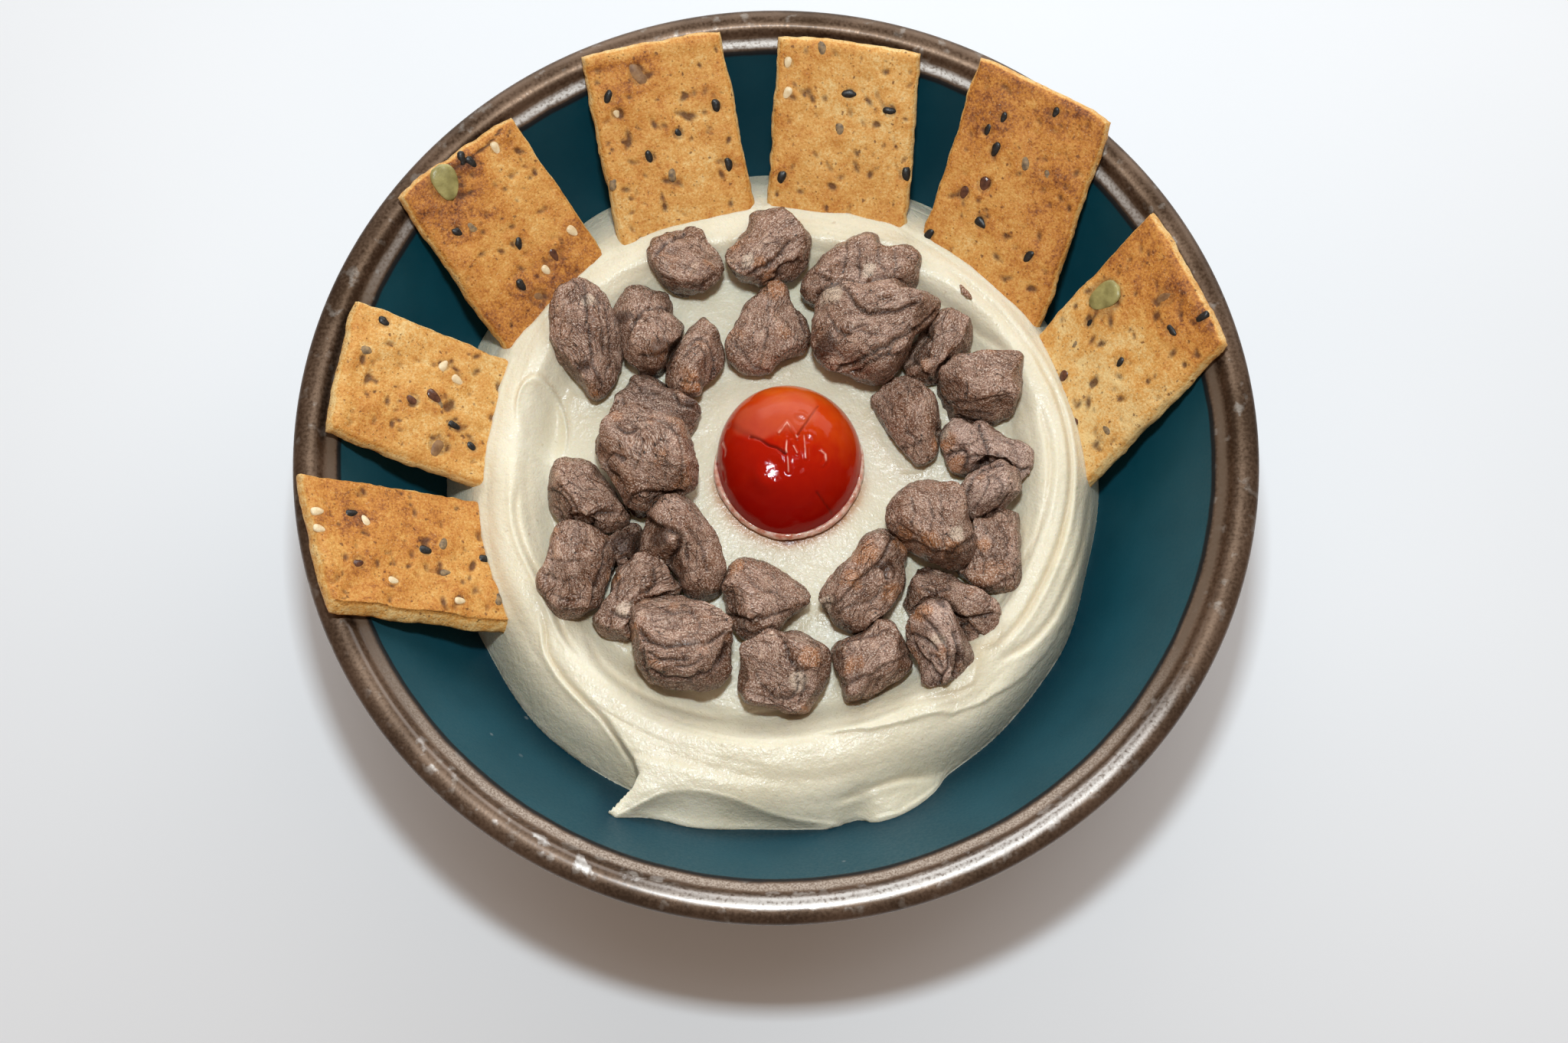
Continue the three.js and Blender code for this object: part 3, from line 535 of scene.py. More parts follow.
def build_bowl():
    profile, teal_edge = bowl_profile()
    steps = np.hypot(*np.diff(profile, axis=0).T)
    length = np.concatenate([[0], np.cumsum(steps)])
    from_edge = length - length[teal_edge]
    turn = np.linspace(0, 2 * np.pi, BOWL_STEPS, endpoint=False)
    radius, height = profile[:, :1], profile[:, 1:]
    rings = np.stack([radius * np.cos(turn), radius * np.sin(turn), height + 0 * turn], -1)
    points, faces = skin_of_rings(rings, (0, 0, FLOOR_HEIGHT), (0, 0, FOOT_HEIGHT))
    from_edge = np.concatenate([np.repeat(from_edge, BOWL_STEPS), from_edge[[0, -1]]])
    _, hummus_turn, contact = hummus_rings()
    off_hummus = np.clip(radius - np.interp(turn, hummus_turn, contact, period=2 * np.pi), 0, None)
    shade = 0.75 * np.exp(-off_hummus / 7.0) + 0.5 * np.exp(-off_hummus / 1.6)
    shade = np.minimum(shade, 1.0) * smoothstep(0.4, -0.7, np.sin(turn))
    bowl = make_piece("bowl_glazed", points, faces, glaze_finish(), "bowl_glaze",
                      {"from_edge": from_edge, "shade": shade.ravel()})
    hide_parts("bowl")


# ---- Hummus -----------------------------------------------------------------------------------

WELL_HEIGHT = 41.0
ISLAND_RISE, ISLAND_RADIUS = 1.2, 27.0

# Power of the outer slope's fall, what is added to it at the front right, where the slope is fuller,
# and the angles between which that fades in and out.
SLUMP, FULLER_SLUMP = 2, 1.6
FULLER_FROM, FULLER_TO = (290, 306), (354, 340)

# Mesh of the hummus: (first angle, last angle, step) of its points, radii between which it ends,
# the radius where the swirl's rings start, how many there are, and shares of the radius underneath.
HUMMUS_TURNS = [(0, 214, 0.75), (214, 238, 0.4), (238, 254, 0.25), (254, 360, 0.55)]
HUMMUS_ENDS = (68, 92)
SWIRL_START, SWIRL_RINGS = 46, 110
UNDERSIDE_SHARES = (0.985, 0.93, 0.84, 0.72, 0.58, 0.42, 0.2, 0.01)

# Distance beyond which the pieces on the hummus no longer change it.
REACH = 7.0

# Angle, radius where the well ends, radius where the crest begins, radius of its outer shoulder,
# height of the crest, and radius where the hummus meets the bowl.
SWIRL = [
    (0, 54, 61, 65, 47.5, 75),
    (30, 54, 60.5, 63, 47.5, 75.7),
    (60, 51, 57, 60, 47.5, 78.3),
    (92, 48, 54.5, 58, 47.3, 77.8),
    (120, 51, 57, 59.5, 47.5, 79.3),
    (150, 53, 58.5, 61, 47.5, 78),
    (182, 53, 59, 62, 48, 76.6),
    (210, 54, 61, 64.5, 48, 76.7),
    (232, 56, 64, 67.5, 48, 79),
    (246, 57, 66, 68.5, 48, 79.5),
    (262, 58, 66, 69, 48.5, 82.8),
    (282, 57, 64, 68, 47.5, 82.3),
    (300, 57, 63, 67, 47.5, 78.2),
    (325, 56, 62, 66, 47, 76.3),
    (345, 55, 61.5, 65.5, 47, 74.3),
]

# Grooves that the spoon left: (angle, radius) along each, its depth and half width.
GROOVES = [
    ([(184, 57.6), (190, 58.9), (195, 59.4), (201, 59.3), (207, 58.9), (211, 59.4), (216, 60.0),
      (222, 61.6), (228, 62.4)], 0.9, 0.7),
    ([(176, 56.0), (192, 56.6), (206, 56.4), (218, 57.2)], 0.4, 1.6),
    ([(214, 62.4), (217.3, 63.7), (221, 66.2), (226, 67.8), (232.5, 68.9), (238, 70.0), (243, 73.0),
      (247, 76.4)], 0.9, 0.6),
    ([(222, 57.4), (231, 60.2), (241, 60.6), (251, 59.8), (262, 59.2)], 0.7, 1.0),
    ([(244, 70.5), (254, 70.8), (264, 71.6), (276, 72.4), (290, 71.5)], 0.3, 1.6),
    ([(315, 64.3), (326, 65.3), (332, 65.3), (342, 65.7), (351, 66.1), (360, 66.2), (372, 65.6),
      (384, 63.8)], 1.0, 0.75),
    ([(318, 59.0), (335, 59.3), (344, 60.6), (353, 61.3), (362, 61.6), (376, 60.4)], 0.5, 0.8),
    ([(314, 66.8), (318, 67.6), (323, 69.5), (329, 70.6), (336, 70.6), (348, 71.2), (358, 71.6)],
     0.8, 0.8),
    ([(22, 60.6), (28, 58.6), (34, 56.6), (40, 55.9), (47, 54.6), (60, 53.5), (74, 52.0)], 0.6, 0.8),
    ([(15, 64.8), (22, 64.4), (30, 62.6), (40, 61.6), (52, 60.6)], 0.5, 0.8),
    ([(120, 55.6), (132, 56.9), (145, 57.4), (156, 57.0)], 0.4, 1.2),
    ([(280, 61.0), (286, 61.9), (297, 62.6), (306, 66.0), (312, 67.6)], 0.4, 0.8),
    ([(279, 77.4), (286, 76.2), (291.8, 76.3), (297, 78.4)], 0.6, 0.7),
]

# Folded lip along (angle, radius) points: its inner side stands above its outer side by step.
LIP_FOLD = {"line": [(274, 62.5), (277, 62.9), (284.4, 63.9), (290.2, 65.2), (294, 66.0), (299, 67.2),
                     (305, 70.0), (311, 71.6), (318, 73.0), (332, 73.6), (340, 73.6)],
            "step": 0.9, "fade": 2.2}

# Edge of the upper sheet, which laps over the left slope, runs out to the tail's tip and comes back
# along the front: (angle, radius).
SHEET_EDGE = [(214, 62.8), (217, 63.7), (221, 65.9), (226, 67.4), (232.5, 69.0), (238, 70.3),
              (242.8, 73.0), (245.4, 74.6), (247.2, 77.0), (247.0, 80.5), (245.9, 84.5),
              (245.2, 87.4), (246.0, 87.8), (247.2, 86.3), (248.5, 84.2), (250, 81.8),
              (251.6, 79.6), (254.8, 77.2), (259, 76.3), (263.5, 76.8), (268.4, 78.6), (273, 80.2),
              (277.6, 81.3), (283, 82.4), (289, 82.5), (294, 81.0), (299, 78.8), (308, 77.6)]
# Number of the first point along its front, and the angles and radii between which the sheet lies.
SHEET_RIM = 12
SHEET_SECTOR, SHEET_REACH = (212, 308), (60, 92)
# Height of the sheet's top beyond the crest, and how far it sinks by a radius of 77, at each angle.
SHEET_TOP = [(214, 48.2), (232, 48.3), (243, 48.3), (250, 48.2), (262, 48.4), (276, 48.1), (300, 47.6)]
SHEET_ROLL = [(214, 0.6), (244, 0.5), (252, 0.6), (257, 1.0), (262, 1.7), (268, 2.8), (273, 3.4),
              (277.6, 3.9), (283, 5.2), (289, 6.8), (294, 8.2), (299, 9.4), (308, 11.0)]
# Where the hummus meets the bowl under the sheet's front edge: (angle, radius).
SHEET_FOOT = [(244.8, 88.2), (247, 87.2), (250, 84.9), (252, 84.0), (257, 83.6), (265, 82.0), (272, 81.8),
              (277, 82.4), (283, 83.3), (289, 83.3), (294, 81.8), (299, 79.6), (308, 78.2)]
SHEET_SLOPE = 0.28

# Oval mark of the spoon's tip: middle, half sizes and turn of its long axis.
SPOON_MARK = {"middle": (-53.3, 10.3), "half": (5.0, 9.2), "turn": 12}


def swirl_at(angle):
    """The swirl's five measures at each angle."""
    rows = np.array(SWIRL, float)
    full_turn = np.array([360, 0, 0, 0, 0, 0])
    rows = np.concatenate([rows[-2:] - full_turn, rows, rows[:2] + full_turn])
    turn = angle % 360
    k = np.clip(np.searchsorted(rows[:, 0], turn, "right") - 1, 0, len(rows) - 2)
    t = smoothstep(rows[k, 0], rows[k + 1, 0], turn)[:, None]
    return (rows[k, 1:] * (1 - t) + rows[k + 1, 1:] * t).T


def from_line(line, angle, r):
    """Distance outwards from a line of (angle, radius) points, and how far from its ends (0 to 1)."""
    angles, radii = np.array(line, float).T
    turn = np.where(angle < angles[0] - 2, angle + 360, angle)
    ends = (angles[-1] - angles[0]) * 0.18
    present = smoothstep(angles[0], angles[0] + ends, turn)
    present = present * smoothstep(angles[-1], angles[-1] - ends, turn)
    return r - hermite(turn, angles, radii), present


def at_angle(table, angle):
    """Value of an (angle, value) table at each angle."""
    angles, values = np.array(table, float).T
    return hermite(angle, angles, values)


def inside_sheet(x, y):
    """Distance inwards from the sheet's edge, negative outside the sheet."""
    turn, r = np.array(SHEET_EDGE).T
    turn = np.radians(turn)
    line = np.stack([r * np.cos(turn), r * np.sin(turn)], -1)
    corners = np.concatenate([line, [(0, 0)]])
    inside = np.zeros(len(x), bool)
    for a, b in zip(corners, np.roll(corners, -1, axis=0)):
        crosses = (a[1] > y) != (b[1] > y)
        with np.errstate(divide="ignore", invalid="ignore"):
            side = x < (b[0] - a[0]) * (y - a[1]) / (b[1] - a[1]) + a[0]
        inside ^= crosses & side
    nearest = off_line(x, y, line)
    return np.where(inside, nearest, -nearest)


def off_segment(x, y, a, b):
    """Distance from the stretch between a and b."""
    a, b = np.array(a), np.array(b)
    along = b - a
    t = np.clip(((x - a[0]) * along[0] + (y - a[1]) * along[1]) / (along @ along), 0, 1)
    return np.hypot(x - a[0] - t * along[0], y - a[1] - t * along[1])


def off_line(x, y, line):
    """Distance from a line of points in plan."""
    return np.min([off_segment(x, y, a, b) for a, b in zip(line[:-1], line[1:])], axis=0)


def front_sheet(height, x, y, r, angle):
    """Lays the upper sheet, with its tail, over the height of the swirl."""
    near = (angle > SHEET_SECTOR[0]) & (angle < SHEET_SECTOR[1])
    near &= (r > SHEET_REACH[0]) & (r < SHEET_REACH[1])
    x, y, r, angle = x[near], y[near], r[near], angle[near]
    below = height[near]
    foot = at_angle(SHEET_FOOT, angle)
    meets = wall_height(foot)

    def top_at(radius):
        """Height of the sheet's top, or of its apron where that is higher."""
        sunk = np.clip((radius - 66) / 11, 0, None) ** 2
        roll = at_angle(SHEET_TOP, angle) - at_angle(SHEET_ROLL, angle) * sunk
        apron = meets + SHEET_SLOPE * (foot - radius)
        flared = smoothstep(272, 286, angle) * smoothstep(71, 75, radius)
        return np.logaddexp(roll / 0.5, (apron * flared + 20 * (1 - flared)) / 0.5) * 0.5

    upper = below + (top_at(r) - below) * smoothstep(61, 69, r)
    rim = at_angle(SHEET_EDGE[SHEET_RIM:], angle)
    in_front = angle > 246 + 0.42 * np.clip(87.5 - r, 0, None)
    out = (foot - r) / np.maximum(foot - rim, 0.5)
    hollow_face = meets + (top_at(rim) - meets) * np.sign(out) * np.abs(out) ** 1.7
    lower = np.minimum(np.where(in_front, hollow_face, below), upper)
    spot = np.stack([x, y, 0 * x], -1)
    edge = inside_sheet(x, y) + 0.25 * noise(spot, 3.0, 8) + 0.12 * noise(spot, 1.1, 9)
    fade_in, fade_out = smoothstep(212, 222, angle), smoothstep(307, 295, angle)
    rounding = 0.5 * np.exp(-np.clip(edge, 0, None) / 0.8) * fade_in
    mixed = lower + (upper - rounding - lower) * smoothstep(-0.15, 0.45, edge)
    height[near] = below + (mixed - below) * np.where(edge > 0, 1, fade_in) * fade_out
    return height


def spoon_mark(x, y):
    """Height of the oval mark's thin rim and shallow dish, and the crease beside its rim."""
    turn = math.radians(SPOON_MARK["turn"])
    dx, dy = x - SPOON_MARK["middle"][0], y - SPOON_MARK["middle"][1]
    across = (dx * math.cos(turn) + dy * math.sin(turn)) / SPOON_MARK["half"][0]
    along = (dy * math.cos(turn) - dx * math.sin(turn)) / SPOON_MARK["half"][1]
    ring = np.hypot(across, along)
    upper = smoothstep(-0.5, 0.6, along + 0.35 * across)
    rim = 0.62 * bump_at(ring, 1, 0.07) * (0.3 + 0.7 * upper)
    crease = bump_at(ring, 1.13, 0.06) * upper
    return rim - 0.85 * smoothstep(1.02, 0.6, ring) - 0.45 * crease, crease


def hummus_form(x, y):
    """Main height of the hummus, as the solid has it, and the depth of its grooves."""
    r = np.hypot(x, y)
    angle = np.degrees(np.arctan2(y, x)) % 360
    well, crest, shoulder, top, contact = swirl_at(angle)
    floor = WELL_HEIGHT + ISLAND_RISE * (1 - smoothstep(0.4 * ISLAND_RADIUS, ISLAND_RADIUS, r))
    climb = smoothstep(well - 2, crest, r)
    height = floor + (top - floor) * climb
    middle = (crest + shoulder) / 2
    across = np.clip((r - middle) / ((shoulder - crest) / 2 + 3), -1, 1)
    height += (0.9 * np.cos(across * np.pi / 2) - 0.5) * smoothstep(0.4, 1, climb)
    down = np.clip((r - shoulder) / (contact - shoulder), 0, None)
    fuller = smoothstep(*FULLER_FROM, angle) * smoothstep(*FULLER_TO, angle)
    height -= (top - wall_height(contact)) * down ** (SLUMP + FULLER_SLUMP * fuller)
    dip = np.zeros_like(r)
    for line, depth, width in GROOVES:
        off, present = from_line(line, angle, r)
        dip += depth * present * (bump_at(off, 0, width) - 0.35 * bump_at(off, 1.9 * width, width))
    off, present = from_line(LIP_FOLD["line"], angle, r)
    spot = np.stack([x, y, 0 * x], -1)
    off = off + 0.45 * noise(spot, 2.6, 5) + 0.2 * noise(spot, 1.0, 6)
    lip = smoothstep(0.25, -0.2, off) * np.exp(np.clip(off, None, 0) / LIP_FOLD["fade"])
    height = front_sheet(height, x, y, r, angle)
    height += LIP_FOLD["step"] * present * lip - dip
    return height, dip


def hummus_detail(x, y, r):
    """Soft lumps and fine lines drawn along the swirl."""
    angle = np.arctan2(y, x)
    flat = np.stack([x, y, 0 * x], -1)
    along = np.stack([r, angle * 62, 0 * r], -1)
    ring = smoothstep(46, 60, r)
    lumps = 0.34 * noise(flat, 11, 1) + 0.18 * noise(flat, 4.5, 2)
    lines = 0.12 * noise(along, (3.0, 30, 1), 3) + 0.04 * noise(along, (0.9, 12, 1), 4)
    streak = noise(along, (4.0, 34, 1), 10)
    crease = 0.30 * np.exp(-((streak / 0.07) ** 2)) * smoothstep(0.0, 0.5, noise(flat, 14, 11))
    grain = 0.05 * noise(flat, 1.2, 6) + 0.03 * noise(flat, 0.6, 7)
    return lumps + (lines - crease) * (0.35 + 0.65 * ring) + grain


def surface_near(kind):
    """Searchable surface of the CAD nodes whose names start with a kind."""
    points, faces = [], []
    for name in nodes_of(kind):
        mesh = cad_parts[name].data
        start = len(points)
        points += [v.co / MM for v in mesh.vertices]
        faces += [[start + i for i in polygon.vertices] for polygon in mesh.polygons]
    return BVHTree.FromPolygons(points, faces)


def nodes_of(kind):
    return sorted(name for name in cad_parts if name.startswith(kind))


def distance_to(kind, points):
    """Distance from each point to the CAD nodes of a kind, or REACH where it is further."""
    tree = surface_near(kind)
    found = np.full(len(points), REACH)
    for i, point in enumerate(points):
        hit = tree.find_nearest(Vector(point), REACH)
        if hit[3] is not None:
            found[i] = hit[3]
    return found


def hummus_rings():
    """Radii of the upper surface's rings, out to just beyond the bowl, their angles, and the radius
    where the hummus meets the bowl."""
    turn = np.radians(np.concatenate([np.arange(*stretch) for stretch in HUMMUS_TURNS]))
    search = np.arange(*HUMMUS_ENDS, 0.1)
    r, t = np.meshgrid(search, turn, indexing="ij")
    x, y = (r * np.cos(t)).ravel(), (r * np.sin(t)).ravel()
    above = (hummus_form(x, y)[0] - wall_height(np.hypot(x, y))).reshape(r.shape) > 0
    contact = search[len(search) - 1 - np.argmax(above[::-1], axis=0)]
    apart = np.abs((turn[:, None] - turn + np.pi) % (2 * np.pi) - np.pi)
    contact = (contact - 100 * apart).max(axis=1) + 0.3
    inner = np.concatenate([np.linspace(1, 13, 8), np.linspace(14, 21, 14),
                            np.linspace(22, SWIRL_START, 25)])
    share = np.linspace(0, 1, SWIRL_RINGS)[1:] ** 0.95
    rings = [np.full(len(turn), radius) for radius in inner]
    rings += [SWIRL_START + (contact - SWIRL_START) * s for s in share]
    return np.array(rings), turn, contact


def build_hummus():
    radii, turn, contact = hummus_rings()
    x, y, r = (radii * np.cos(turn)).ravel(), (radii * np.sin(turn)).ravel(), radii.ravel()
    height, dip = hummus_form(x, y)
    mark, crease = spoon_mark(x, y)
    height += hummus_detail(x, y, r) + mark
    above = np.clip(height - wall_height(r), 0, None) * (r > 60)
    spot = np.stack([x, y, 0 * x], -1)
    ragged = 0.8 + 0.35 * noise(spot, 2.4, 13) + 0.25 * noise(spot, 0.9, 14)
    height += ragged * (1 - np.exp(-above / 0.6)) * np.exp(-above / 3)
    surface = np.stack([x, y, height], -1)

    off_beef = distance_to("beef", surface)
    off_cracker = distance_to("cracker", surface)
    off_tomato = distance_to("tomato", surface)
    height += 0.55 * np.exp(-off_beef / 1.3) + 0.5 * np.exp(-off_cracker / 0.9)
    surface[:, 2] = np.minimum(height, 60)
    under_wall = wall_height(r) - 0.4
    surface[:, 2] = np.maximum(surface[:, 2], under_wall)

    patchy = 0.5 + 0.5 * noise(surface, 6.0, 21)
    # Brown round the beef: the juice's stain, and painted shade where the chunks meet the hummus.
    juice_and_shade = np.exp(-off_beef / 1.5) * np.clip(0.15 + 0.9 * patchy, 0, 1) * (off_beef < REACH)
    # Oil stain in front of the tomato, with a painted shadow next to its edge.
    oil_and_shadow = np.exp(-np.clip(off_tomato - 1.8, 0, None) / 0.9) * (off_tomato < REACH)
    oil_and_shadow *= smoothstep(2, -9, y) * (0.8 + 0.2 * noise(surface, 5.0, 22))
    # Browner in the grooves and the spoon mark's crease: painted shade.
    groove_shade = np.maximum(np.clip(dip, 0, 1.2) / 1.2, crease)

    rings = surface.reshape(*radii.shape, 3)
    under = []
    for share in UNDERSIDE_SHARES:
        ring = contact * share
        lift = -2 * GAP if share > 0.8 else GAP
        under.append(np.stack([ring * np.cos(turn), ring * np.sin(turn), wall_height(ring) + lift], -1))
    rings = np.concatenate([rings, under])
    top = (0, 0, rings[0, :, 2].mean())
    points, faces = skin_of_rings(rings, top, (0, 0, FLOOR_HEIGHT + GAP))
    values = {"juice_and_shade": juice_and_shade * 0.6, "oil_and_shadow": oil_and_shadow, "groove_shade": groove_shade}
    hummus = make_piece("hummus_swirl", points, faces, hummus_finish(), "hummus", values)
    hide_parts("hummus")


# ---- Crackers ---------------------------------------------------------------------------------

CRACKER_LENGTH = 52.0
CRACKER_THICKNESS = 3.4
CRACKER_PUFF = 0.35
SIDE_SLANT = 0.6

# Points along, across and down the side of a cracker, and its numbers of pits and blisters.
CRACKER_GRID = (100, 62, 6)
PITS, BLISTERS = 90, 16

# Share of the seeds that lie crosswise.
CROSSWISE_SHARE = 0.15

# Middle of the outer edge in plan, heading inwards, plan distance to where it enters the hummus and
# its height there, width, skew of the outer edge, slant of its right side, how brown it is, how much
# browner towards the outer end and along the edges, how rolled up or wavy an edge is, its cracks as
# points, depth and half width, and its seeds as kind, distance from the outer edge and distance
# from the middle line.
CRACKERS = [
    {"outer": (-96.4, -25.6), "heading": 3.7, "reach": 35, "sink": 44, "width": 30.5, "skew": -0.18,
     "slant": 1.8, "toast": 0.46, "edge": 0.10, "seeds": [
         ("nigella", 9, 7.3), ("sesame", 11.9, 6), ("sesame", 0.6, 6.3), ("sesame", 0.8, 2.3),
         ("flax", 9.5, -4.3), ("nigella", 25.8, 0.8), ("sesame", 17.6, -7.3), ("sesame", 33.2, -10.3),
         ("veiled", 30.3, 2.9), ("nigella", 41, 0.9), ("veiled", 43, -8.8), ("veiled", 30.5, -4)]},
    {"outer": (-94.0, 15.2), "heading": -10.8, "reach": 33, "sink": 45, "width": 31, "skew": -0.03,
     "toast": 0.33, "edge": 0.10, "seeds": [
         ("flax", 17.4, -2.2), ("flax", 22.2, 0.1), ("nigella", 28.1, -4.3), ("sesame", 22.5, 8.1),
         ("sesame", 26.5, 6.1), ("sunflower", 25.7, -10.1), ("nigella", 33.7, -7.5),
         ("veiled", 4.1, 4.7), ("nigella", 6.6, 12.5), ("veiled", 23.6, -0.8)]},
    {"outer": (-71.6, 64.6), "heading": -50.7, "reach": 34, "sink": 45.5, "width": 32.3, "skew": 0.02,
     "toast": 0.52, "edge": 0.06,
     "cracks": [([(1.9, -1.5), (2.3, 3), (2.0, 8), (0.9, 12)], 0.5, 0.3)], "seeds": [
         ("pumpkin", 3.4, -5.5), ("nigella", 1.3, 0.6), ("nigella", 3.2, 1.9), ("nigella", 24.2, 0.4),
         ("nigella", 14, -9.8), ("sesame", 3.8, 8.6), ("sesame", 33, 2.2), ("sesame", 29.3, 12.5),
         ("sunflower", 36.6, -3.1), ("nigella", 32.4, -4.7), ("flax", 31.2, 5.8), ("veiled", 15, -6.4)]},
    {"outer": (-28.5, 92.7), "heading": -77.4, "reach": 38, "sink": 45.5, "width": 32.5, "skew": 0.01,
     "toast": 0.34, "edge": 0.16, "rolled": 0.5, "seeds": [
         ("nigella", 9.9, -12.1), ("sunflower", 6.4, -4.4), ("nigella", 21, 2.1), ("nigella", 16.7, 11.9),
         ("nigella", 24.8, -5.6), ("nigella", 30.2, 12.2), ("veiled", 29.4, -15), ("sesame", 13.6, -11),
         ("veiled", 30, -1.2)]},
    {"outer": (16.6, 93.3), "heading": -94.6, "reach": 34.4, "sink": 45.5, "width": 32.8, "skew": 0.05,
     "toast": 0.31, "edge": 0.06, "seeds": [
         ("nigella", 11.1, 0.9), ("nigella", 14.3, 10.4), ("veiled", 19.4, -0.7),
         ("nigella", 31.2, -13.4), ("nigella", 28.4, 15.4), ("sesame", 5.1, -13.7), ("veiled", 1.5, -6.1),
         ("sesame", 12, -13.4)]},
    {"outer": (60.2, 79.8), "heading": -110.5, "reach": 38.5, "sink": 45, "width": 33.3, "skew": 0.12,
     "toast": 0.43, "browner": 0.17, "edge": 0.22, "wavy": 0.7, "seeds": [
         ("nigella", 9, -6.8), ("nigella", 4.1, 4.2), ("nigella", 12.7, -9.4), ("nigella", 16.2, -6.2),
         ("flax", 25, -6.2), ("flax", 28.2, -10), ("nigella", 33.3, -4.1), ("nigella", 36.6, 9.1),
         ("nigella", 40, -15), ("veiled", 17.8, 7.1), ("veiled", 17.1, 1.4)]},
    {"outer": (90.1, 35.1), "heading": -139.7, "reach": 32, "sink": 44, "width": 34.6, "skew": 0.2,
     "toast": 0.11, "browner": 0.32, "edge": 0.22, "seeds": [
         ("pumpkin", 17.1, -10.9), ("sunflower", 6.6, -0.2), ("nigella", 23.9, -9.3),
         ("nigella", 10.6, 6.5), ("nigella", 24.5, 2.5), ("flax", 37.1, -4.8), ("flax", 42.5, 4.8),
         ("veiled", 29.9, -8.1), ("veiled", 36.9, 11.7), ("nigella", 3.4, 9.4)]},
]

# Length, width and thickness of each kind of seed, how much of it stands above the crust, how much it
# tapers and how uneven it is.
SEEDS = {
    "sesame": (3.0, 1.7, 0.9, 0.40, 0.35, 0.05),
    "nigella": (3.5, 1.9, 1.4, 0.27, 0.2, 0.16),
    "flax": (4.4, 2.1, 1.0, 0.25, 0.4, 0.05),
    "veiled": (3.0, 1.9, 0.9, 0.10, 0.05, 0.12),
    "sunflower": (6.0, 3.0, 1.2, 0.15, 0.05, 0.10),
    "pumpkin": (8.6, 5.8, 1.8, 0.45, 0.25, 0.05),
}

# Dark and light colour of each kind of seed, its roughness and the size of its patches.
SEED_COLOURS = {
    "sesame": ((0.70, 0.50, 0.27), (0.86, 0.70, 0.45), 0.4, 1.2),
    "nigella": ((0.002, 0.002, 0.002), (0.022, 0.018, 0.014), 0.42, 0.6),
    "flax": ((0.055, 0.018, 0.010), (0.16, 0.06, 0.03), 0.22, 1.2),
    "veiled": ((0.09, 0.062, 0.04), (0.36, 0.225, 0.10), 0.6, 0.9),
    "sunflower": ((0.17, 0.075, 0.026), (0.33, 0.17, 0.065), 0.55, 1.2),
    "pumpkin": ((0.20, 0.165, 0.050), (0.42, 0.36, 0.13), 0.38, 3.0),
}


def on_lip(start, along):
    """Point on the bowl's lip crest above a line in plan, on the outer side."""
    b = start.dot(along)
    c = start.length_squared - LIP_RADIUS ** 2
    return start + along * (-b - math.sqrt(b * b - c))


def leaning_frame(cracker):
    """Origin and axes (inwards, sideways, up) of a cracker: its long edges rest on the lip and its
    inner end is held by the hummus."""
    heading = math.radians(cracker["heading"])
    along = Vector((math.cos(heading), math.sin(heading)))
    across = Vector((-along.y, along.x))
    start = Vector(cracker["outer"])
    left = on_lip(start + across * cracker["width"] / 2, along)
    right = on_lip(start - across * cracker["width"] / 2, along)
    inner = start + along * cracker["reach"]
    run = (inner - (left + right) / 2).dot(along)
    pitch = math.atan2(LIP_HEIGHT + GAP + CRACKER_THICKNESS - cracker["sink"], run)
    top = LIP_HEIGHT + GAP + CRACKER_THICKNESS / math.cos(pitch)
    a, b = Vector((*left, top)), Vector((*right, top))
    c = Vector((*inner, cracker["sink"]))
    normal = (b - a).cross(c - a).normalized()
    normal = -normal if normal.z < 0 else normal
    rise = top - ((start.x - a.x) * normal.x + (start.y - a.y) * normal.y) / normal.z
    origin = Vector((*start, rise))
    forward = (c - origin).normalized()
    return np.array(origin), np.array([forward, normal.cross(forward), normal])


def part_unevenness(x, y, z, seed):
    """The wave that the solid's crackers have too."""
    a = np.sin(x * 1.31 + y * 0.77 + z * 1.13 + seed * 1.7)
    b = np.sin(x * -0.83 + y * 1.57 + z * 0.91 + seed * 2.9)
    c = np.sin(x * 2.17 + y * -1.93 + z * 2.41 + seed * 4.3)
    return (a + b + 0.6 * c) / 2.6


def crust_spots(rng, count, width, low, high):
    """Random places, sizes and directions of pits or blisters on a cracker."""
    return zip(rng.uniform(1.5, CRACKER_LENGTH - 8, count), rng.uniform(-0.46, 0.46, count) * width,
               rng.uniform(low, high, count), rng.uniform(0, np.pi, count), rng.uniform(1, 2.2, count))


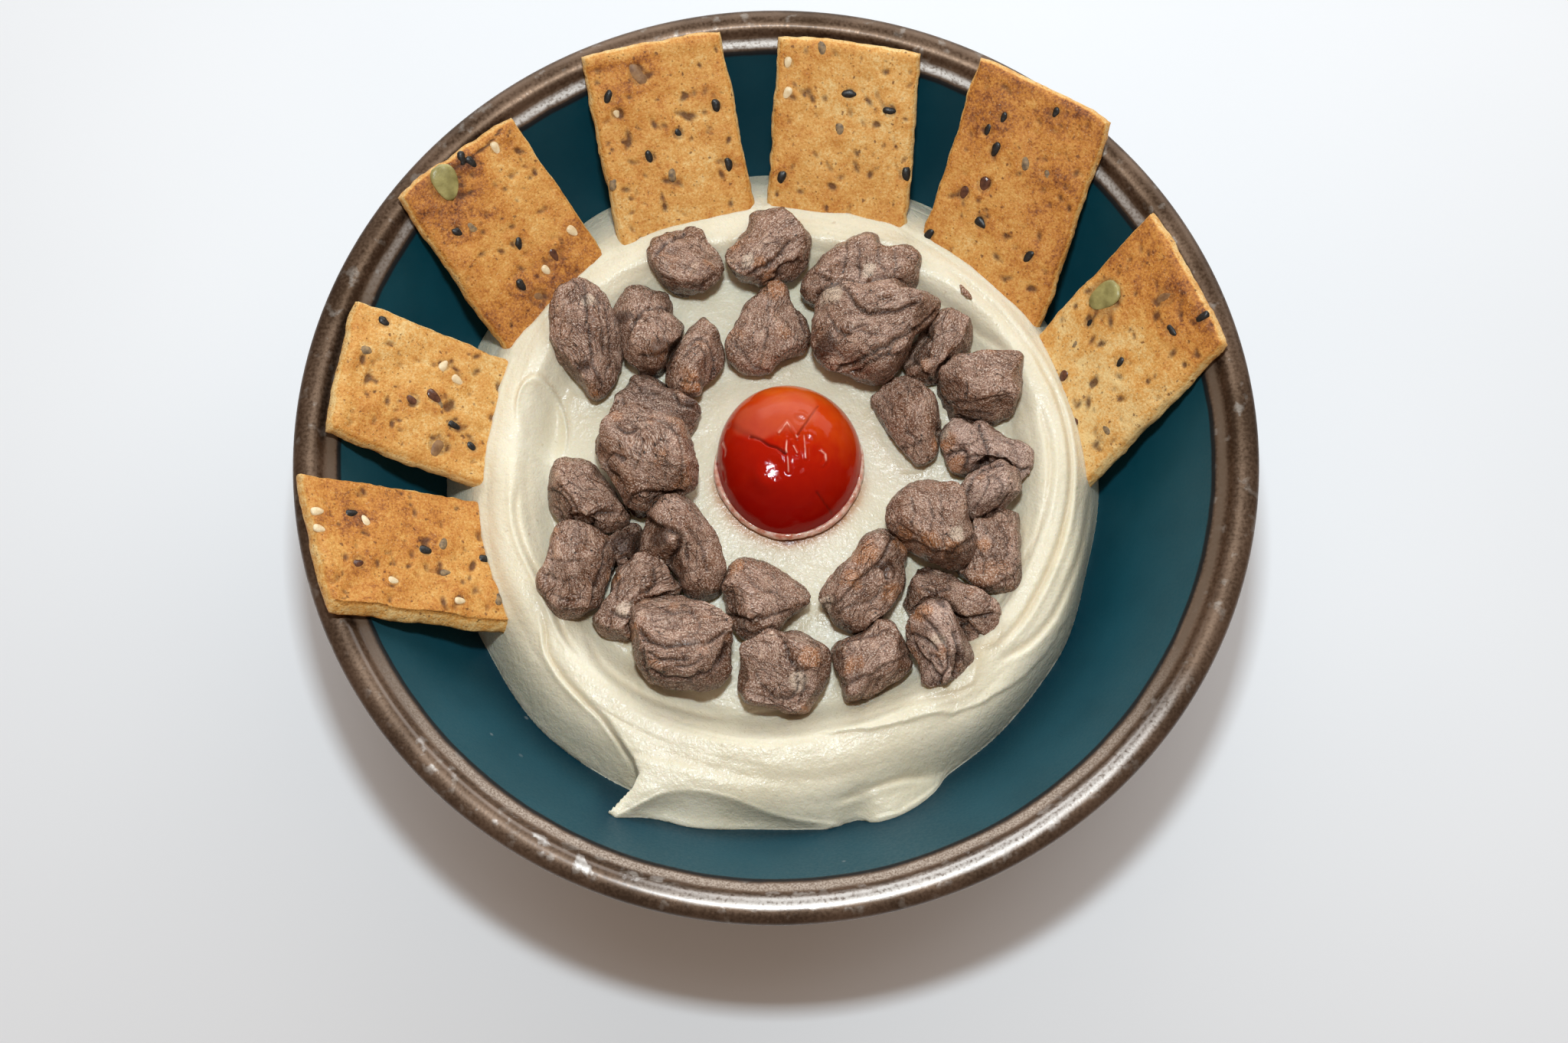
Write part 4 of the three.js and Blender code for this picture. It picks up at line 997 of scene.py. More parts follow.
def crust_relief(u, v, cracker, seed):
    """Height of the crust over its flat plane, darkness of its pits, with painted shade round its seeds
    and in its cracks, and how brown it is.
    """
    rng = np.random.default_rng(100 + seed)
    width = cracker["width"]
    flat = np.stack([u, v, 0 * u + 40 * seed], -1)
    height = CRACKER_PUFF * part_unevenness(u * 0.16, v * 0.22, 0, seed)
    height += 0.16 * noise(flat, 5.0, 31) + 0.09 * noise(flat, 2.2, 32) + 0.05 * noise(flat, 0.9, 33)
    toast = cracker["toast"] + 0.17 * noise(flat, 14, 34) + 0.06 * noise(flat, 5, 35)
    toast += cracker.get("browner", 0) * smoothstep(24, 4, u)
    pit_and_shade = np.zeros_like(u)
    for x, y, size, turn, longer in crust_spots(rng, PITS, width, 0.25, 0.8):
        du = (u - x) * math.cos(turn) + (v - y) * math.sin(turn)
        dv = (v - y) * math.cos(turn) - (u - x) * math.sin(turn)
        hole = np.exp(-((du / (size * longer)) ** 2) - (dv / size) ** 2)
        height -= 0.55 * min(size, 0.7) * hole
        pit_and_shade += hole * rng.uniform(0.25, 0.8)
    for x, y, size, _, _ in crust_spots(rng, BLISTERS, width, 1.6, 3.4):
        blister = np.exp(-(((u - x) / size) ** 2) - ((v - y) / size) ** 2)
        height += 0.10 * size * blister
        toast += 0.08 * blister
    for kind, x, y in cracker["seeds"]:
        size = SEEDS[kind][1] * 0.75
        off = np.hypot(u - x, v - y)
        height += (0.20 if kind == "veiled" else -0.12) * bump_at(off, 0, size)
        height += 0.16 * bump_at(off, 1.6 * size, 0.5 * size)
        toast += 0.10 * bump_at(off, 1.7 * size, 0.6 * size)
        # Dark ring round each seed: painted shade.
        pit_and_shade += (0.0 if kind == "veiled" else 0.4) * bump_at(off, 0.8 * size, 0.35 * size)
    for line, depth, half in cracker.get("cracks", []):
        off = off_line(u, v, line) + 0.25 * noise(flat, 1.6, 37)
        height -= depth * bump_at(off, 0, half)
        # Dark crack: painted shade.
        pit_and_shade += 0.9 * bump_at(off, 0, 0.8 * half)
    outward = np.clip(u - cracker["skew"] * v * (1 - u / CRACKER_LENGTH), 0, None)
    to_side = np.clip(width / 2 - np.abs(v), 0, None)
    rolled = 0.5 * cracker.get("rolled", 0)
    toast += cracker["edge"] * np.exp(-np.minimum(outward, 0.7 * to_side + 2) / 3.5)
    toast += rolled * bump_at(outward, 3.4, 1.1) * smoothstep(6, -6, v)
    height += rolled * smoothstep(3.6, 2.2, outward)
    height += 0.28 * bump_at(outward, 1.6, 1.8) * (0.6 + 0.8 * noise(flat, 6, 36))
    height -= 0.5 * np.exp(-np.minimum(to_side, outward) / 0.45)
    return height, np.clip(pit_and_shade, 0, 1), toast


def cracker_outline(s, t, cracker, seed):
    """Place (u, v) of a cracker's point, from s along and t across, both from 0 to 1."""
    width = cracker["width"]
    u0, v0 = CRACKER_LENGTH * s, width * (t - 0.5)
    x, sign = u0 - CRACKER_LENGTH / 2, np.sign(t - 0.5)
    side = np.abs(2 * t - 1) ** 6
    wander = 0.25 * sign * side * part_unevenness(x * 0.25, v0 * 0.1, 3, seed)
    spot = np.stack([u0, v0, 0 * u0 + 9 * seed], -1)
    ragged = side * (0.16 * noise(spot, 2.4, 41) + 0.10 * noise(spot, 0.9, 42))
    ragged += side * np.where(v0 < 0, cracker.get("wavy", 0.2), 0.2) * noise(spot, 4.5, 40)
    end = (1 - s) ** 8
    chipped = end * (0.30 * noise(spot, 4.0, 43) + 0.12 * noise(spot, 1.2, 44))
    corner = end * side
    u = u0 + (1 - s) * cracker["skew"] * v0 + chipped + 0.7 * corner
    v = v0 + wander + sign * ragged - 0.35 * sign * corner
    return u, v


def cracker_mesh(cracker, seed):
    """Points in the cracker's own frame, faces, and the values that colour it."""
    rows, columns, levels = CRACKER_GRID
    s = np.linspace(0, 1, rows)
    t = 0.5 - 0.5 * np.cos(np.pi * np.linspace(0.04, 0.96, columns))
    t = (t - t[0]) / (t[-1] - t[0])
    t = 0.6 * t + 0.4 * np.linspace(0, 1, columns)
    grid_s, grid_t = (a.ravel() for a in np.meshgrid(s, t, indexing="ij"))
    u, v = cracker_outline(grid_s, grid_t, cracker, seed)
    height, pit_and_shade, toast = crust_relief(u, v, cracker, seed)
    slant = np.where(v < 0, cracker.get("slant", SIDE_SLANT), SIDE_SLANT)
    inset = np.abs(2 * grid_t - 1) ** 10
    top = np.stack([u + 0.35 * (1 - grid_s) ** 30, v - np.sign(v) * slant * inset, height], -1)
    spot = np.stack([u, v, 0 * u + 70 * seed], -1)
    bottom = np.stack([u, v, -CRACKER_THICKNESS + 0.10 * noise(spot, 3, 45)], -1)

    index = np.arange(rows * columns).reshape(rows, columns)
    loop = np.concatenate([index[0, :], index[1:, -1], index[-1, -2::-1], index[-2:0:-1, 0]])
    outward = np.stack([np.where(grid_s < 0.001, -1, np.where(grid_s > 0.999, 1, 0)),
                        np.sign(grid_t - 0.5) * (np.abs(2 * grid_t - 1) > 0.999), 0 * u], -1)[loop]
    parts = [top]
    for level in range(1, levels):
        share = level / levels
        middle = top[loop] * (1 - share) + bottom[loop] * share
        bulge = 0.45 * math.sin(math.pi * share) ** 0.5
        side = np.stack([u[loop], v[loop], 3.4 * share + 0 * loop], -1)
        rough = 0.16 * noise(side, (1.6, 1.6, 0.8), 46)
        parts.append(middle + outward * (bulge + rough)[:, None])
    points = np.concatenate([*parts, bottom])

    count, around = rows * columns, len(loop)
    below = count + (levels - 1) * around
    quads = np.stack([index[:-1, :-1], index[1:, :-1], index[1:, 1:], index[:-1, 1:]], -1).reshape(-1, 4)
    belts = [loop, *np.arange(count, below).reshape(-1, around), below + loop]
    sides = [np.stack([upper, np.roll(upper, -1), np.roll(lower, -1), lower], -1)
             for upper, lower in zip(belts[:-1], belts[1:])]
    faces = np.concatenate([quads, *sides, below + quads[:, ::-1]]).tolist()
    side_toast = [np.clip(toast[loop] - 0.30, 0.02, 0.22)] * (levels - 1)
    toast = np.concatenate([toast, *side_toast, toast])
    pit_and_shade = np.concatenate([pit_and_shade, *[0 * loop] * (levels - 1), 0.5 * pit_and_shade])
    return points, faces, toast, pit_and_shade


def seed_mesh(kind, rng):
    """A teardrop seed lying along X with its own small unevenness."""
    length, width, thickness, _, taper, uneven = SEEDS[kind]
    turn = np.linspace(0, 2 * np.pi, 20, endpoint=False)
    along = np.linspace(-1, 1, 13)[1:-1]
    thick = np.sqrt(1 - np.abs(along) ** 2.2) * (1 - taper * along)
    rings = np.stack([np.repeat(along[:, None], len(turn), 1) * length / 2,
                      np.outer(thick, np.cos(turn)) * width / 2,
                      np.outer(thick, np.sin(turn)) * thickness / 2], -1)
    points, faces = skin_of_rings(rings, (-length / 2, 0, 0), (length / 2, 0, 0))
    shift = rng.uniform(0, 50)
    points *= 1 + uneven * noise(points + shift, 0.9 if kind != "pumpkin" else 2.5, 51)[:, None]
    if kind == "pumpkin":
        x, y, z = points.T
        z -= 0.14 * bump_at(y, 0, 0.35) * np.sign(z)
        z += 0.22 * smoothstep(0.72, 0.95, np.hypot(x / (length / 2), y / (width / 2)))
    return points, faces


def build_crackers():
    finish = cracker_finish()
    seeds = {kind: [] for kind in SEEDS}
    for number, cracker in enumerate(CRACKERS, 1):
        origin, axes = leaning_frame(cracker)
        local, faces, toast, pit_and_shade = cracker_mesh(cracker, number)
        name = f"cracker_{number}"
        crust = make_piece(f"{name}_crust", origin + local @ axes, faces, finish, "cracker",
                           {"toast": toast, "pit_and_shade": pit_and_shade}, {"crust_place": local + [0, 0, 60 * number]})
        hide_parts(name)
        rng = np.random.default_rng(500 + number)
        for kind, u, v in cracker["seeds"]:
            seed, seed_faces = seed_mesh(kind, rng)
            turn = rng.uniform(-0.5, 0.5) + (np.pi / 2 if rng.random() < CROSSWISE_SHARE else 0)
            scale = rng.uniform(0.85, 1.15)
            cosine, sine = math.cos(turn), math.sin(turn)
            spin = np.array([[cosine, sine, 0], [-sine, cosine, 0], [0, 0, 1]])
            surface, _, _ = crust_relief(np.array([float(u)]), np.array([float(v)]), cracker, number)
            thickness, proud = SEEDS[kind][2:4]
            seed = (seed * scale) @ spin + [u, v, surface[0] + (proud - 0.5) * thickness]
            seeds[kind].append((origin + seed @ axes, seed_faces))
    for kind, parts in seeds.items():
        make_piece(f"seeds_{kind}", *joined(parts), seed_finish(kind), "cracker", {})


# ---- Beef -------------------------------------------------------------------------------------

# Size of the cells of the chunks' meshes.
BEEF_VOXEL = 0.46

# Knife cuts: how deep they go, how rounded their edges are, and how far a cut may face down.
CUT_DEPTHS = (0.8, 2.2)
CUT_SOFTNESS = 0.9
LOWEST_CUT = -0.35

# Share of the chunks with browned patches of their own.
BROWNED_SHARE = 0.4

# The crumb's ends as pixels, its height and the values that colour it.
CRUMB_ENDS, CRUMB_HEIGHT = [(1253, 375), (1268, 393)], 47.5
CRUMB_VALUES = {"crack_and_shade": 0.2, "browned": 0.4, "tone": 0.0, "seared_and_shaded": 0.3, "fat_and_highlight": 0.0}

# Browned and fatty spots on the chunks, one fatty spot being a painted highlight, and dark spots, mostly
# painted shade under flaps and in pockets: pixel, radius in pixels and height.
BEEF_SPOTS = {
    "browned": [
        (776, 512, 14, 52), (862, 452, 13, 54), (905, 516, 14, 43), (964, 328, 8, 50),
        (992, 352, 9, 50), (1010, 382, 16, 48), (1234, 572, 13, 50), (1246, 606, 15, 50),
        (960, 737, 10, 50), (723, 702, 9, 50), (1166, 772, 12, 50), (1118, 866, 13, 51),
        (1204, 796, 12, 54), (1058, 858, 14, 52), (1180, 706, 12, 50), (1210, 716, 12, 50),
        (1240, 728, 12, 50), (800, 752, 9, 48), (1130, 722, 18, 52), (1112, 760, 12, 50),
        (830, 835, 8, 45), (1050, 934, 8, 46), (1280, 722, 8, 44)],
    "fat_and_highlight": [
        # The spot at (1088, 378) is a painted highlight.
        (978, 350, 8, 50), (1134, 354, 9, 54), (1044, 892, 12, 48), (1088, 378, 14, 58),
        (816, 796, 9, 48), (1233, 562, 8, 50), (1262, 616, 9, 50), (768, 392, 9, 53),
        (1250, 700, 9, 56), (1078, 790, 9, 50), (1225, 835, 8, 54)],
    "dark": [
        (760, 477, 9, 52), (1076, 464, 15, 48), (868, 474, 16, 44), (862, 706, 12, 50),
        (814, 420, 13, 47), (1158, 742, 8, 50), (1205, 745, 14, 44), (905, 535, 12, 44),
        (820, 715, 20, 44), (1240, 738, 10, 46), (1228, 800, 8, 46)],
}

# Chunks paler (above 0) or darker (below 0) than the rest.
BEEF_TONES = {"beef_13": 0.7, "beef_28": 0.6, "beef_29": 0.6, "beef_01": -0.5, "beef_02": -0.6}

# Outline of each chunk, as the pixels that its edge has at a share of the chunk's height.
OUTLINE_LEVEL = 0.42
BEEF_OUTLINES = {
    "beef_02": [
        (824, 487), (813, 504), (802, 516), (802, 536), (787, 556), (802, 569), (824, 576), (869, 578),
        (900, 571), (913, 556), (918, 540), (898, 529), (878, 513), (867, 500), (847, 489)],
    "beef_03": [
        (836, 729), (809, 744), (800, 760), (796, 778), (778, 800), (778, 816), (787, 829), (804, 836),
        (824, 836), (836, 812), (858, 797), (887, 786), (889, 771), (880, 753), (864, 738),
        (851, 731)],
    "beef_05": [
        (1202, 744), (1186, 761), (1181, 780), (1183, 799), (1193, 813), (1217, 825), (1240, 823),
        (1264, 842), (1283, 840), (1305, 823), (1314, 806), (1307, 792), (1288, 778), (1264, 766),
        (1236, 749), (1217, 742)],
    "beef_06": [
        (1204, 430), (1190, 455), (1178, 478), (1186, 499), (1205, 503), (1228, 497), (1248, 478),
        (1267, 459), (1270, 434), (1263, 422), (1240, 410), (1222, 408)],
    "beef_07": [
        (904, 298), (887, 303), (867, 311), (851, 320), (847, 336), (847, 349), (860, 367), (878, 380),
        (900, 387), (920, 387), (936, 376), (947, 358), (944, 342), (929, 318), (920, 302)],
    "beef_08": [
        (989, 283), (980, 286), (978, 299), (964, 314), (951, 332), (944, 339), (947, 354), (964, 368),
        (978, 372), (996, 377), (1016, 374), (1031, 370), (1044, 363), (1056, 348), (1060, 330),
        (1060, 314), (1051, 299), (1038, 288), (1018, 281)],
    "beef_09": [
        (1133, 307), (1109, 317), (1087, 330), (1069, 348), (1064, 359), (1056, 361), (1047, 374),
        (1044, 388), (1056, 399), (1076, 403), (1100, 408), (1144, 408), (1178, 394), (1198, 377),
        (1200, 357), (1204, 348), (1193, 330), (1178, 326), (1153, 321), (1147, 310)],
    "beef_10": [
        (1009, 370), (996, 381), (987, 394), (973, 408), (958, 430), (947, 454), (949, 474),
        (964, 486), (989, 494), (1004, 494), (1016, 483), (1033, 474), (1051, 463), (1058, 443),
        (1056, 426), (1042, 408), (1033, 394), (1031, 381), (1020, 370)],
    "beef_11": [
        (1169, 494), (1152, 504), (1138, 520), (1145, 537), (1157, 559), (1174, 585), (1188, 601),
        (1200, 612), (1217, 604), (1226, 585), (1233, 563), (1226, 540), (1219, 518), (1202, 506),
        (1186, 494)],
    "beef_12": [
        (1247, 474), (1229, 490), (1223, 505), (1229, 527), (1241, 546), (1266, 552), (1297, 552),
        (1322, 540), (1331, 518), (1333, 490), (1334, 474), (1310, 471), (1278, 470)],
    "beef_13": [
        (1245, 551), (1231, 559), (1226, 573), (1231, 592), (1233, 606), (1240, 620), (1257, 625),
        (1283, 623), (1307, 628), (1331, 635), (1340, 628), (1348, 613), (1350, 597), (1331, 585),
        (1312, 573), (1298, 566), (1279, 554), (1262, 559)],
    "beef_14": [
        (1150, 690), (1129, 699), (1117, 720), (1090, 744), (1076, 766), (1071, 782), (1081, 801),
        (1090, 818), (1112, 828), (1129, 825), (1152, 809), (1169, 792), (1179, 773), (1183, 749),
        (1186, 723), (1176, 709), (1164, 694)],
    "beef_15": [
        (1150, 811), (1121, 825), (1090, 837), (1083, 851), (1093, 875), (1100, 899), (1105, 919),
        (1121, 916), (1145, 906), (1174, 890), (1193, 870), (1190, 854), (1179, 832), (1167, 816)],
    "beef_16": [
        (1009, 827), (987, 844), (969, 853), (966, 878), (964, 905), (971, 920), (996, 925),
        (1018, 930), (1032, 938), (1048, 936), (1062, 922), (1078, 900), (1086, 870), (1084, 850),
        (1062, 838), (1040, 828)],
    "beef_17": [
        (964, 729), (953, 738), (947, 751), (944, 773), (949, 796), (956, 818), (967, 833), (984, 844),
        (1000, 842), (1011, 829), (1027, 813), (1044, 800), (1058, 791), (1058, 778), (1047, 764),
        (1029, 749), (1009, 738), (987, 731)],
    "beef_18": [
        (736, 600), (722, 609), (716, 636), (716, 653), (722, 673), (729, 684), (747, 689), (769, 691),
        (791, 696), (809, 693), (822, 684), (822, 669), (813, 658), (804, 642), (787, 622), (778, 611),
        (764, 602)],
    "beef_19": [
        (758, 374), (736, 384), (720, 409), (718, 436), (716, 451), (731, 476), (749, 493), (771, 511),
        (769, 518), (778, 524), (788, 516), (804, 502), (813, 480), (816, 449), (813, 427), (802, 411),
        (791, 398), (773, 380)],
    "beef_20": [
        (842, 373), (824, 378), (807, 396), (799, 411), (802, 431), (813, 453), (820, 476), (836, 487),
        (858, 490), (871, 480), (871, 469), (889, 449), (896, 429), (880, 413), (878, 398),
        (867, 380)],
    "beef_21": [
        (918, 418), (900, 431), (889, 447), (880, 464), (871, 480), (871, 502), (880, 513), (900, 521),
        (913, 520), (918, 509), (931, 498), (944, 480), (944, 453), (936, 433)],
    "beef_22": [
        (733, 687), (722, 702), (716, 729), (704, 760), (707, 776), (718, 796), (731, 807), (753, 809),
        (769, 800), (784, 789), (796, 760), (804, 733), (809, 716), (796, 707), (773, 693),
        (751, 684)],
    "beef_23": [
        (873, 656), (858, 667), (844, 680), (836, 702), (838, 720), (849, 731), (864, 733), (880, 747),
        (889, 760), (891, 773), (902, 782), (920, 782), (938, 773), (947, 756), (949, 738), (944, 720),
        (931, 693), (918, 676), (907, 658), (891, 651)],
    "beef_24": [
        (836, 782), (820, 793), (818, 811), (822, 824), (827, 847), (833, 871), (849, 893), (869, 900),
        (891, 904), (920, 907), (942, 898), (953, 882), (956, 856), (960, 838), (958, 820), (936, 802),
        (913, 789), (889, 780), (869, 776), (853, 778)],
    "beef_25": [
        (802, 547), (787, 560), (778, 575), (778, 589), (784, 611), (800, 633), (813, 651), (824, 667),
        (836, 674), (844, 671), (856, 658), (876, 651), (893, 649), (911, 640), (913, 613), (907, 587),
        (896, 560), (878, 547), (858, 544), (838, 536), (820, 536)],
    "beef_26": [
        (1096, 372), (1073, 377), (1064, 383), (1066, 397), (1064, 410), (1058, 425), (1058, 448),
        (1064, 470), (1084, 486), (1111, 492), (1122, 499), (1142, 501), (1162, 494), (1173, 481),
        (1189, 466), (1196, 443), (1211, 426), (1227, 412), (1229, 401), (1218, 392), (1204, 386),
        (1189, 386), (1182, 368), (1162, 364), (1136, 372), (1118, 377)],
    "beef_27": [
        (1212, 623), (1183, 635), (1162, 654), (1155, 680), (1160, 694), (1179, 709), (1198, 723),
        (1221, 735), (1248, 744), (1269, 737), (1279, 718), (1271, 699), (1260, 678), (1252, 651),
        (1240, 635)],
    "beef_28": [
        (1307, 603), (1279, 613), (1260, 625), (1250, 642), (1257, 666), (1269, 680), (1288, 682),
        (1312, 670), (1331, 651), (1336, 637), (1331, 620), (1319, 609)],
    "beef_29": [
        (1217, 787), (1198, 797), (1183, 816), (1183, 837), (1193, 861), (1202, 880), (1202, 894),
        (1212, 901), (1231, 897), (1248, 885), (1271, 880), (1279, 868), (1271, 847), (1257, 828),
        (1248, 809), (1236, 792)],
}

